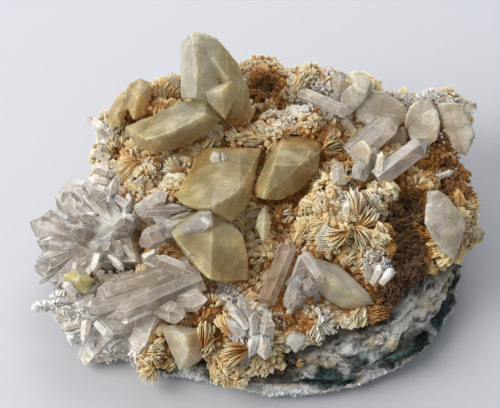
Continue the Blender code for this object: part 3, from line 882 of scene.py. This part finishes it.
def add_sugar(heap, rng, place, outward, count, spread, smallest, largest, sunk=0.7):
    """A patch of tiny quartz points round a place, sizes in millimetres."""
    across = outward.orthogonal().normalized()
    for _ in range(count):
        aside = Matrix.Rotation(rng.uniform(0, math.tau), 3, outward) @ across
        width = rng.uniform(smallest, largest)
        way = (outward + loose_way(rng) * 0.75).normalized()
        root = place + aside * (spread * math.sqrt(rng.random()) * MM) - way * (width * sunk * MM)
        add_prism(heap, rng, rng.choice(grains), root, way, width)


def clear_quartz():
    for name in QUARTZ_GROUPS:
        mesh = evaluated(
            faceted_copy(name, math.radians(2)),
            f"clear_{name}",
            ("BEVEL", {"width": WORN_CORNER, "segments": 1, "limit_method": "ANGLE",
                       "angle_limit": math.radians(12), "use_clamp_overlap": True}),
        )
        points = points_of(mesh)
        gaps = np.array([crust_solid.find_nearest(Vector(point))[3] for point in points])
        nearest = np.minimum(gaps / CLOUDY_DEPTH, points[:, 2] / MILKY_FOOT)
        if name == "quartz_blocks_front_left":
            nearest *= BLOCKS_CLEARNESS
        set_attribute(mesh, "rooted", 1 - np.clip(nearest, 0, 1))
        dress(mesh, rosy if name == "quartz_prism_long" else glassy, "clear_quartz", name)
    dress(slim_prisms(), glassy, "clear_quartz")


glassy = quartz_finish("clear_quartz", 0.2, 0.88, (216, 205, 192), (245, 242, 236), 1 * MM)
rosy = quartz_finish("rosy_quartz", 0.1, 0.4, (186, 158, 134), (226, 208, 192), 1 * MM)
clear_quartz()


# The crust. Thin calcite blades have grown by the thousand, side by side like the leaves of
# an opened book, and fan after fan covers the rock. The outer edges are cream and saw-toothed,
# and rust has settled between the roots. The hollows are also darkened as painted shade, and
# where the crust lies in shadow it is painted dark brown.
CRUST_GRAIN = 0.8 * MM
BED_DEPTH = 1.7 * MM
LUMP_HEIGHT = 1.1 * MM
FAN_SPACING = 1.35 * MM
BLADE_THICKNESS = 0.13
BLADE_PITCH = 0.31
FLAT_THICKNESS = 0.06
SEE_AROUND = 7 * MM
RAYS = 14
PAST_BOX = 1 * MM
LEFT_END = -57
PART_WIDTH = 38
FRONT_END = 6
FOOT_OF_CRUST = 3 * MM
LEAST_ROOM = 0.4
SUGAR_ROOM = 1.8
# Where the crust differs: (column, row) in the picture, radius in millimetres, shade from
# -2, dark brown painted shade, over -1, rusty, to 1, white, how sugary it is, and the size
# of its fans.
CRUST_ZONES = (
    ((320, 108), 6.0, 1.0, 0.9, 0.5),
    ((281, 118), 4.0, 0.5, 0.1, 0.45),
    ((250, 318), 5.0, 1.0, 0.9, 0.5),
    ((230, 294), 3.2, 0.6, 0.6, 0.5),
    ((350, 208), 2.2, 1.0, 1.0, 0.6),
    ((376, 268), 3.2, 1.0, 0.9, 0.6),
    ((402, 97), 4.0, 0.9, 0.3, 0.5),
    ((428, 93), 5.0, 0.9, 0.3, 0.5),
    ((452, 104), 4.0, 0.9, 0.3, 0.5),
    ((98, 140), 5.5, 0.7, 0.4, 0.7),
    ((100, 170), 4.0, 0.7, 0.4, 0.7),
    ((118, 274), 4.0, 1.0, 0.6, 0.5),
    ((140, 100), 3.5, 0.3, 0.0, 0.8),
    ((325, 318), 5.0, 0.5, 0.2, 0.8),
    ((385, 205), 4.0, 0.4, 0.1, 0.9),
    ((150, 165), 8.0, 0.25, 0.0, 0.75),
    ((262, 56), 5.0, 0.1, 0.0, 0.5),
    ((268, 84), 3.5, -1.6, 0.0, 0.5),
    ((154, 106), 2.5, -1.3, 0.0, 0.6),
    ((218, 322), 3.0, -1.5, 0.0, 0.7),
    ((462, 182), 5.0, -1.0, 0.0, 0.7),
    ((440, 170), 4.0, -0.9, 0.2, 0.7),
    ((330, 190), 6.0, 0.2, 0.0, 0.55),
    ((322, 70), 5.0, 0.2, 0.0, 0.5),
    ((228, 118), 7.0, -0.6, 0.0, 0.8),
    ((278, 215), 6.0, -0.25, 0.0, 1.0),
    ((290, 318), 3.5, -1.5, 0.0, 0.7),
    ((118, 152), 2.5, -0.6, 0.0, 0.6),
    ((172, 84), 3.0, -0.6, 0.0, 0.8),
    ((408, 208), 4.5, -1.8, 0.0, 0.9),
    ((402, 232), 4.5, -2.0, 0.0, 0.9),
    ((408, 258), 5.0, -2.0, 0.0, 0.8),
    ((404, 282), 5.0, -2.0, 0.0, 0.8),
    ((390, 300), 4.0, -1.6, 0.0, 0.8),
    ((372, 222), 2.0, -1.6, 0.0, 0.8),
    ((340, 280), 2.5, -1.0, 0.0, 0.8),
    ((300, 200), 3.0, -0.7, 0.0, 0.7),
    ((330, 145), 5.0, -0.55, 0.0, 0.9),
    ((470, 190), 6.0, -0.3, 0.0, 1.0),
)
# The largest fans: (column, row) of the hinge and of the edge, and how far they open.
LARGE_FANS = (
    ((244, 350), (220, 360), 34),
    ((204, 345), (203, 320), 26),
    ((262, 356), (272, 334), 18),
    ((234, 330), (222, 312), 35),
    ((214, 340), (206, 356), 30),
    ((452, 236), (428, 262), 40),
    ((322, 150), (340, 142), 45),
    ((345, 232), (322, 240), 35),
    ((140, 165), (118, 176), 40),
    ((180, 170), (160, 160), 40),
    ((240, 128), (222, 112), 40),
    ((356, 214), (349, 196), 30),
    ((362, 222), (373, 204), 30),
    ((360, 236), (372, 246), 30),
)
DARK_SPECKS = ((352, 178), (346, 186), (358, 172), (428, 147), (436, 140), (420, 152))


def crust_bed(solid):
    """The fused mass that the blades stand out of, and the points of the crust's outside."""
    mesh = evaluated(
        copy_of("bladed_crust"),
        "crust_bed",
        ("REMESH", {"mode": "VOXEL", "voxel_size": CRUST_GRAIN}),
        ("SMOOTH", {"factor": 0.6, "iterations": 2}),
    )
    outside = points_of(mesh)
    normals = normals_of(mesh)
    points = outside.copy()
    for i, (place, normal) in enumerate(zip(outside, normals)):
        point, outward = Vector(place), Vector(normal)
        through = solid.ray_cast(point - outward * (0.1 * MM), -outward)[3] or 0
        firm = min(1.0, through / (6 * MM))
        lump = lumps(point) * LUMP_HEIGHT
        rough = 0.9 * MM * noise.fractal(point / MM * 0.22, 0.9, 2.1, 4)
        points[i] += normal * ((lump + rough - BED_DEPTH) * firm)
    move_points(mesh, points)
    return mesh, outside, normals


def lumps(point):
    """The crust's low humps and hollows, about -1 to 1."""
    place = point / MM
    return noise.noise(place * 0.14 + Vector((3, 9, 5))) + 0.6 * noise.noise(place * 0.3)


def look_round(count, lowest):
    """Directions spread evenly over the part of the sphere about +Z."""
    rays = []
    for i in range(count):
        z = lowest + (1 - lowest) * (i + 0.5) / count
        turn = i * math.pi * (3 - math.sqrt(5))
        across = math.sqrt(1 - z * z)
        rays.append(Vector((math.cos(turn) * across, math.sin(turn) * across, z)))
    return rays


def hollowness(tree, start, normal, rays):
    """How much of the space in front of a point is shut in: 0 in the open, 1 in a deep hole."""
    facing = normal.to_track_quat("Z", "Y")
    hits = 0.0
    for ray in rays:
        found = tree.ray_cast(start, facing @ ray, SEE_AROUND)
        if found[0]:
            hits += 1 - found[3] / SEE_AROUND * 0.7
    return hits / len(rays)


def seen_at(solid, spot):
    """The place on a solid that the eye sees at this (column, row) of the picture."""
    return solid.ray_cast(EYE, sight_line(*spot))[:2]


def placed_zones(solid):
    zones = [(seen_at(solid, spot)[0], *rest) for spot, *rest in CRUST_ZONES]
    return [zone for zone in zones if zone[0]]


def zone_at(zones, place):
    """The shade, the sugar and the fan size here, where zones run into each other."""
    shade, sugar, size = 0.0, 0.0, 1.0
    ragged = 1 + 0.5 * noise.noise(place / MM * 0.35)
    for centre, radius, its_shade, its_sugar, its_size in zones:
        share = smooth_step(1.7 - (place - centre).length / (radius * MM) * ragged)
        shade += its_shade * share
        sugar = max(sugar, its_sugar * share)
        size *= 1 + (its_size - 1) * share
    return max(-2.0, min(1.0, shade)), sugar, max(0.4, size)


def thickened(bm):
    """The points and the triangles of a flat shape, given a little thickness."""
    bmesh.ops.recalc_face_normals(bm, faces=bm.faces)
    everything = bm.faces[:] + bm.edges[:] + bm.verts[:]
    bmesh.ops.solidify(bm, geom=everything, thickness=FLAT_THICKNESS)
    return triangles_of(bm)


def blade_templates(rng):
    """Some thin saw-toothed blades: x across, z from root to edge, both about 1, y through."""
    shapes = []
    for _ in range(10):
        bm = bmesh.new()
        bmesh.ops.create_grid(bm, x_segments=4, y_segments=2, size=0.5)
        for vert in bm.verts:
            across, up = vert.co.x, vert.co.y + 0.5
            edge = 1 - across * across - rng.uniform(0, 0.24)
            width = 0.62 + 0.5 * up - 0.3 * up * up
            vert.co = Vector((across * width * 1.25, 0.1 * up * up, up * edge))
        shapes.append(thickened(bm))
    return shapes


def leaf_templates(rng):
    """Some thin pointed blades for the small fans, laid out as the wide ones are."""
    shapes = []
    for _ in range(12):
        bm = bmesh.new()
        bmesh.ops.create_circle(bm, cap_ends=True, segments=5, radius=1)
        left, right = rng.uniform(0.4, 0.75), rng.uniform(0.4, 0.75)
        rim = ((-0.3, 0), (0.3, 0), (0.5, right), (rng.uniform(-0.2, 0.2), 1), (-0.5, left))
        for vert, (across, up) in zip(bm.verts, rim):
            vert.co = Vector((across, 0.1 * up * up, up * rng.uniform(0.9, 1.0)))
        shapes.append(thickened(bm))
    return shapes


def add_fan(heap, rng, shapes, root, outward, hinge, radius, width, spread, shade, hollow):
    """One fan of blades, opened like a book about its hinge. Hollow is (at root, at edge)."""
    count = max(3, int(radius * spread * 2 / BLADE_PITCH))
    warm = rng.uniform(0, 1)
    twist = rng.uniform(-0.5, 0.5)
    for k in range(count):
        share = 2 * (k + 0.5) / count - 1
        angle = share * spread + rng.uniform(-0.05, 0.05)
        along = Matrix.Rotation(twist * share + rng.uniform(-0.12, 0.12), 3, outward) @ hinge
        side = along.cross(outward)
        out = outward * math.cos(angle) + side * math.sin(angle)
        through = out.cross(along)
        reach = radius * rng.uniform(0.72, 1.08) * (1 - 0.14 * share * share)
        points, faces = shapes[rng.randrange(len(shapes))]
        across = width * rng.uniform(0.7, 1.15)
        thickness = BLADE_THICKNESS / FLAT_THICKNESS
        axes = np.array([along * across, through * thickness, out * reach])
        shift = root + along * (rng.uniform(-0.2, 0.2) * width * MM)
        near_edge = np.clip(points[:, 2], 0, 1)
        heap.add(
            points @ (axes * MM) + np.array(shift),
            faces,
            reach=near_edge,
            hollow=hollow[0] + (hollow[1] - hollow[0]) * near_edge,
            tone=warm * 0.5 + rng.uniform(0, 0.5),
            shade=shade,
        )


def crust_finish():
    finish = Finish("bladed_calcite")
    hollow = finish.attribute("hollow")
    reach = finish.attribute("reach")
    tone = finish.attribute("tone")
    shade = finish.attribute("shade")
    patches = finish.grain(55, 3)
    fine = finish.grain(1500, 3, 0.6)
    white = shade.between(0.0, 0.9)
    mottled = fine.between(0.3, 0.7)
    tip = finish.layers(
        srgb(232, 206, 152),
        (tone, 244, 231, 198),
        (patches.between(0.5, 0.62) * 0.4, 234, 228, 212),
        (white, 240, 235, 225),
    )
    tip = finish.blend(shade.between(-1.0, -0.1), srgb(208, 152, 76), tip)
    face = finish.layers(
        srgb(216, 168, 100),
        (mottled, 234, 204, 152),
        (white * 0.8, 208, 200, 188),
    )
    rust = finish.layers(srgb(164, 106, 44), (mottled, 218, 156, 80))
    # Rust settles in the hollows, and the same mask darkens them: partly real rust, partly
    # painted shade.
    deep = hollow * 1.2 + patches * 0.5 - shade * 0.7 - 0.38
    face = finish.blend(deep.between(0.1, 0.6), face, rust)
    rim = (reach + fine * 0.16 - deep * 0.42).between(0.5, 0.92)
    color = finish.blend(rim, face, tip)
    # Painted shade: zones below -1 are painted dark brown, where the crust lies in shadow.
    color = finish.blend((0 - shade).between(0.9, 1.9) * 0.85, color, srgb(88, 68, 52))
    finish.set(
        Base_Color=color,
        Roughness=0.5,
        Specular_IOR_Level=0.4,
        Subsurface_Weight=0.6,
        Subsurface_Radius=(1.0, 0.75, 0.45),
        Subsurface_Scale=0.6 * MM,
    )
    finish.set(Normal=finish.bump(fine, 0.3, 0.2 * MM))
    return finish.material


def past_box(point):
    """True where a tip would stand out of the solid's box by more than it may."""
    low, high = cad_bounds
    return any(p < l - PAST_BOX or p > h + PAST_BOX for p, l, h in zip(point, low, high))


def solids_of(names):
    """These solids together, to find what a line meets or what lies nearest."""
    together = bmesh.new()
    for name in names:
        together.from_mesh(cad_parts[name].data)
    tree = BVHTree.FromBMesh(together)
    together.free()
    return tree


def large_fans(heap, rng, shapes, solid, zones):
    """The fans that can be told apart in the picture. Gives back their middles."""
    middles = []
    for hinge_spot, edge_spot, opened in LARGE_FANS:
        (root, normal), (edge, _) = seen_at(solid, hinge_spot), seen_at(solid, edge_spot)
        if root is None or edge is None:
            continue
        flat = (edge - root).normalized()
        outward = (flat + normal * 0.45 + TOWARD_EYE * 0.2).normalized()
        toward = TOWARD_EYE + normal
        hinge = (toward - outward * toward.dot(outward)).normalized()
        radius = min(10.0, (edge - root).length / MM)
        shade = max(0.0, zone_at(zones, edge)[0])
        add_fan(heap, rng, shapes, root - normal * (0.8 * MM), outward, hinge, radius * 1.05,
                3.0 + radius * 0.25, math.radians(opened), shade, (0.75, 0.1))
        middles.append(((root + edge) / 2, radius * 0.42 * MM))
    return middles


def looks_of_bed(bed, hollow, shades):
    """What the finish reads on the bed: it has hollows and zones, and no blade edges."""
    # The bed's hollowness is raised, so that below the blades it comes out rustier and darker:
    # partly rust, partly painted shade.
    set_attribute(bed, "hollow", np.array(hollow) * 0.8 + 0.25)
    set_attribute(bed, "reach", np.full(len(hollow), 0.2))
    set_attribute(bed, "tone", np.full(len(hollow), 0.3))
    set_attribute(bed, "shade", [shade for shade, _, _ in shades])


def cell_of(place):
    return tuple(int(c // FAN_SPACING) for c in place)


def crowded(taken, place, spacing):
    """True where a fan stands nearer than this. Their places are kept by cell."""
    cell = cell_of(place)
    for step in product((-1, 0, 1), repeat=3):
        others = taken.get(tuple(c + s for c, s in zip(cell, step)), ())
        if any((place - other).length < spacing for other in others):
            return True
    return False


def crust():
    rng = random.Random(11)
    bed, outside, normals = crust_bed(crust_solid)
    rays = look_round(RAYS, 0.3)
    zones = placed_zones(crust_solid)
    hollow = [
        hollowness(specimen, Vector(p) + Vector(n) * (0.6 * MM), Vector(n), rays)
        for p, n in zip(outside, normals)
    ]
    shades = [zone_at(zones, Vector(p)) for p in outside]
    looks_of_bed(bed, hollow, shades)
    order = list(range(len(outside)))
    rng.shuffle(order)
    small, large = leaf_templates(rng), blade_templates(rng)
    heaps = [Heap() for _ in range(6)]

    def heap_at(place):
        column = min(2, max(0, int((place.x / MM - LEFT_END) / PART_WIDTH)))
        return heaps[column * 2 + (place.y > FRONT_END * MM)]

    middles = large_fans(heaps[2], rng, large, crust_solid, zones)
    taken = {}
    for index in order:
        place, normal = Vector(outside[index]), Vector(normals[index])
        if normal.z < -0.35 or place.z < FOOT_OF_CRUST:
            continue
        if any((place - middle).length < kept for middle, kept in middles):
            continue
        shade, sugar, its_size = shades[index]
        if crowded(taken, place, FAN_SPACING * (0.55 + 0.45 * its_size)):
            continue
        room_left = crystals.find_nearest(place)[3] / MM
        if room_left < LEAST_ROOM:
            continue
        taken.setdefault(cell_of(place), []).append(place)
        lump = lumps(place)
        place += normal * (lump * 0.6 * LUMP_HEIGHT)
        if rng.random() < sugar * 0.75 and room_left > SUGAR_ROOM:
            add_sugar(druse, rng, place, normal, 14, 1.3, 0.25, 0.65)
            continue
        size = rng.random()
        radius = (1.4 + 1.0 * size + 2.4 * size ** 6) * min(1.0, 0.5 + room_left / 6)
        radius *= its_size * (1 + 0.35 * lump)
        outward = (normal + loose_way(rng) * 0.4).normalized()
        flow = noise.noise_vector(place / MM * 0.07 + Vector((7, 3, 1)))
        hinge = flow.cross(outward).normalized()
        hinge = Matrix.Rotation(rng.uniform(-0.7, 0.7), 3, outward) @ hinge
        root = place - outward * (radius * 0.4 * MM)
        if past_box(root + outward * (radius * MM)):
            continue
        at_edge = hollowness(specimen, place + outward * (radius * 0.55 * MM), outward, rays)
        add_fan(heap_at(place), rng, small, root, outward, hinge, radius,
                radius * rng.uniform(0.7, 1.3), math.radians(rng.uniform(24, 58)),
                shade + rng.uniform(-0.25, 0.25) + lump * 0.2, (hollow[index], at_edge))
    material = crust_finish()
    dress(bed, material, "bladed_calcite", "bladed_crust")
    for i, heap in enumerate(heaps):
        name = f"blades_{('left', 'middle', 'right')[i // 2]}_{('front', 'rear')[i % 2]}"
        dress(heap.mesh(name), material, "bladed_calcite")


druse = Heap()
grain_rng = random.Random(7)
grains = [prism_body(grain_rng, 1, grain_rng.uniform(1.5, 2.2), 0) for _ in range(12)]
crystal_names = HONEY_CRYSTALS + PALE_PLATES + QUARTZ_GROUPS
crystals = solids_of(crystal_names)
specimen = solids_of(crystal_names + ["rock", "bladed_crust"])
crust()


# The druse. Tiny quartz points coat parts of the crust, the foot of the left-hand quartz and
# the rim of the rock like coarse sugar, and a few dark metallic grains sit among the blades.
SUGAR_ON_BLOCKS = 500
BLOCKS_SUGAR_END = -41
BLOCKS_SUGAR_TOP = 9
RIM_PATCHES = 420
RIM_REACH = 0.5 * MM
OUTSIDE = 0.2
GRAINS_AT_SPECK = 12
GRAIN_SPREAD = 1.3


def rim_sugar():
    """Sugary patches all the way round the foot of the rock."""
    rng = random.Random(23)
    rock_solid = BVHTree.FromBMesh(copy_of("rock"))
    for i in range(RIM_PATCHES):
        turn = math.tau * i / RIM_PATCHES
        outward = Vector((math.cos(turn), math.sin(turn), 0))
        height = rng.uniform(0.7, RIM_HEIGHT - 0.2) * MM
        start = outward * OUTSIDE + Vector((0, 0, height))
        place, normal = rock_solid.ray_cast(start, -outward)[:2]
        if place:
            place = place - normal * RIM_REACH
            add_sugar(druse, rng, place, normal, 5, 0.8, 0.3, 0.7)


def blocks_sugar():
    """Sugar on the foot and the left side of the blocky crystals at the front left."""
    rng = random.Random(29)
    for place, normal in surface_samples("quartz_blocks_front_left", rng, SUGAR_ON_BLOCKS):
        if place.x < BLOCKS_SUGAR_END * MM or place.z < BLOCKS_SUGAR_TOP * MM:
            add_sugar(druse, rng, place, normal, 5, 1.0, 0.35, 0.9, 1.15)


def dark_grains():
    """Dark metallic grains, small cubes half sunk in the crust."""
    rng = random.Random(31)
    cube = bmesh.new()
    bmesh.ops.create_cube(cube, size=1)
    points, faces = triangles_of(cube)
    heap = Heap()
    for spot in DARK_SPECKS:
        place, normal = seen_at(crust_solid, spot)
        if place is None:
            continue
        for _ in range(GRAINS_AT_SPECK):
            shift = loose_way(rng) * GRAIN_SPREAD + normal * GRAIN_SPREAD
            turn = Matrix.Rotation(rng.uniform(0, math.tau), 3, loose_way(rng))
            size = rng.uniform(0.25, 0.6)
            heap.add((points * size) @ np.array(turn) * MM + np.array(place + shift * MM), faces)
    finish = Finish("dark_grains")
    finish.set(
        Base_Color=finish.blend(finish.grain(900), srgb(30, 31, 33), srgb(84, 84, 82)),
        Metallic=0.7,
        Roughness=finish.grain(600).between(0.3, 0.7) * 0.25 + 0.2,
    )
    dress(heap.mesh("dark_grains"), finish.material, "altered_rock")


rim_sugar()
blocks_sugar()
dark_grains()
sugary = quartz_finish("sugary_quartz", 0.9, 1.0, (224, 220, 214), (244, 242, 239), 0.15 * MM)
dress(druse.mesh("druse"), sugary, "clear_quartz")


# The small crystals. Stubby milky quartz and thin calcite plates have grown into the gaps
# between the large crystals, where the crust left them room.
# Each prism: (column, row) in the picture of its root and of its tip, its width in
# millimetres, and how far its tip comes forward.
SMALL_PRISMS = (
    ((116, 247), (121, 262), 3.2, 2.0),
    ((126, 250), (136, 260), 2.6, 2.0),
    ((112, 258), (124, 270), 2.4, 1.5),
    ((96, 258), (92, 272), 2.4, 1.5),
    ((240, 320), (228, 300), 5.0, 2.0),
    ((236, 328), (225, 318), 4.5, 2.0),
    ((246, 318), (240, 295), 4.0, 2.5),
    ((262, 340), (267, 314), 5.5, 2.5),
    ((256, 336), (254, 312), 4.0, 3.0),
    ((256, 336), (249, 358), 4.0, 2.0),
    ((262, 338), (265, 360), 5.0, 2.0),
    ((216, 160), (213, 151), 2.8, 1.0),
    ((224, 159), (222, 152), 2.4, 1.0),
    ((74, 326), (60, 330), 2.6, 2.0),
    ((86, 328), (84, 341), 3.4, 3.0),
    ((99, 325), (110, 336), 2.6, 2.5),
    ((106, 140), (94, 128), 3.0, 1.0),
    ((104, 156), (90, 148), 3.4, 1.0),
    ((102, 170), (89, 166), 3.2, 1.0),
    ((110, 165), (100, 158), 3.0, 1.5),
    ((101, 182), (88, 181), 3.0, 1.0),
    ((380, 167), (382, 151), 2.8, 1.5),
    ((438, 178), (454, 171), 2.0, 1.0),
    ((352, 128), (344, 116), 2.4, 1.0),
    ((120, 200), (97, 184), 5.0, 1.5),
    ((112, 196), (116, 176), 3.4, 1.5),
    ((134, 168), (132, 156), 2.0, 1.2),
    ((124, 178), (121, 165), 1.8, 1.2),
    ((346, 212), (348, 199), 3.0, 1.5),
    ((374, 280), (381, 264), 2.4, 2.0),
    ((384, 281), (393, 268), 2.2, 1.5),
    ((371, 276), (365, 264), 2.0, 2.0),
    ((386, 274), (396, 272), 1.8, 1.0),
    ((338, 178), (337, 162), 3.6, 1.0),
    ((290, 312), (293, 302), 1.8, 1.0),
    ((72, 290), (63, 281), 2.6, 1.5),
    ((90, 292), (98, 285), 2.2, 1.5),
    ((80, 271), (73, 262), 2.4, 1.5),
    ((92, 272), (99, 265), 2.2, 1.0),
    ((64, 318), (52, 314), 2.2, 1.0),
    ((148, 256), (158, 250), 2.4, 0.5),
)
# Each plate: (column, row) of its middle, its radius and thickness in millimetres, how far it
# leans to the right and up out of the picture's plane, and how stained it is.
SMALL_PLATES = (
    ((294, 338), 2.4, 3.0, 0.1, -0.4, 0.2),
    ((360, 84), 3.4, 2.6, 0.1, 0.5, 0.5),
    ((397, 139), 4.0, 1.0, -1.3, 0.1, 0.6),
    ((362, 157), 3.8, 1.0, -1.2, 0.0, 0.6),
    ((372, 160), 3.4, 0.9, -1.5, 0.1, 0.6),
    ((326, 239), 2.8, 1.2, 0.0, -0.3, 0.1),
    ((238, 357), 4.2, 1.2, -0.2, -0.6, 0.3),
    ((172, 82), 2.0, 1.2, 0.2, 0.0, 0.5),
)
PLATE_LIFT = 0.5


def way_to(root, tip_spot, forward):
    """From a root to a tip over another place of the picture, so many millimetres nearer."""
    line = sight_line(*tip_spot)
    depth = (EYE - root).dot(TOWARD_EYE) - forward * MM
    return EYE - line * (depth / line.dot(TOWARD_EYE)) - root


def small_prisms():
    rng = random.Random(37)
    heap = Heap()
    for root_spot, tip_spot, width, forward in SMALL_PRISMS:
        root, _ = seen_at(specimen, root_spot)
        if root is None:
            continue
        way = way_to(root, tip_spot, forward)
        sunk = way.normalized() * (width * 0.4 * MM)
        body = prism_body(rng, width, (way + sunk).length / MM, width * RIM_SHARE)
        add_prism(heap, rng, body, root - sunk, way.normalized(), clearness=0.55)
    dress(heap.mesh("small_prisms"), glassy, "clear_quartz")


def plate_body(rng, radius, thickness):
    """A thin plate in millimetres with an uneven outline and worn edges."""
    bm = bmesh.new()
    bmesh.ops.create_cone(
        bm, cap_ends=True, segments=10, radius1=radius, radius2=radius, depth=thickness
    )
    other = rng.uniform(0, 50)
    for vert in bm.verts:
        outline = 0.9 + 0.8 * noise.noise(Vector((vert.co.x, vert.co.y, other)) / radius * 1.5)
        vert.co.xy *= outline
    sides = [face for face in bm.faces if len(face.verts) > 4]
    bmesh.ops.bevel(
        bm,
        geom=[edge for face in sides for edge in face.edges],
        offset=thickness * 0.3,
        affect="EDGES",
        segments=2,
        profile=0.5,
        material=-1,
    )
    edges = add_pale_rims(bm, radius * 0.3, radius * radius)
    points, faces = triangles_of(bm)
    return points, faces, np.array(edges) * 0.72


def small_plates():
    rng = random.Random(41)
    heap = Heap()
    for spot, radius, thickness, right, up, stain in SMALL_PLATES:
        place, normal = seen_at(specimen, spot)
        if place is None:
            continue
        facing = (TOWARD_EYE + Vector((right, 0, 0)) + PICTURE_UP * up).normalized()
        points, faces, edges = plate_body(rng, radius, thickness)
        turn = np.array(facing.to_track_quat("Z", "Y").to_matrix())
        middle = np.array(place + normal * (PLATE_LIFT * MM))
        turned = np.arctan2(points[:, 1], points[:, 0])
        rings = np.stack((turned * 2, np.hypot(points[:, 0], points[:, 1]) * 3), 1)
        heap.add(points @ turn.T * MM + middle, faces, growth=rings, edge=edges, root=stain)
    dress(heap.mesh("small_plates"), pale, "pale_calcite")


small_prisms()
small_plates()
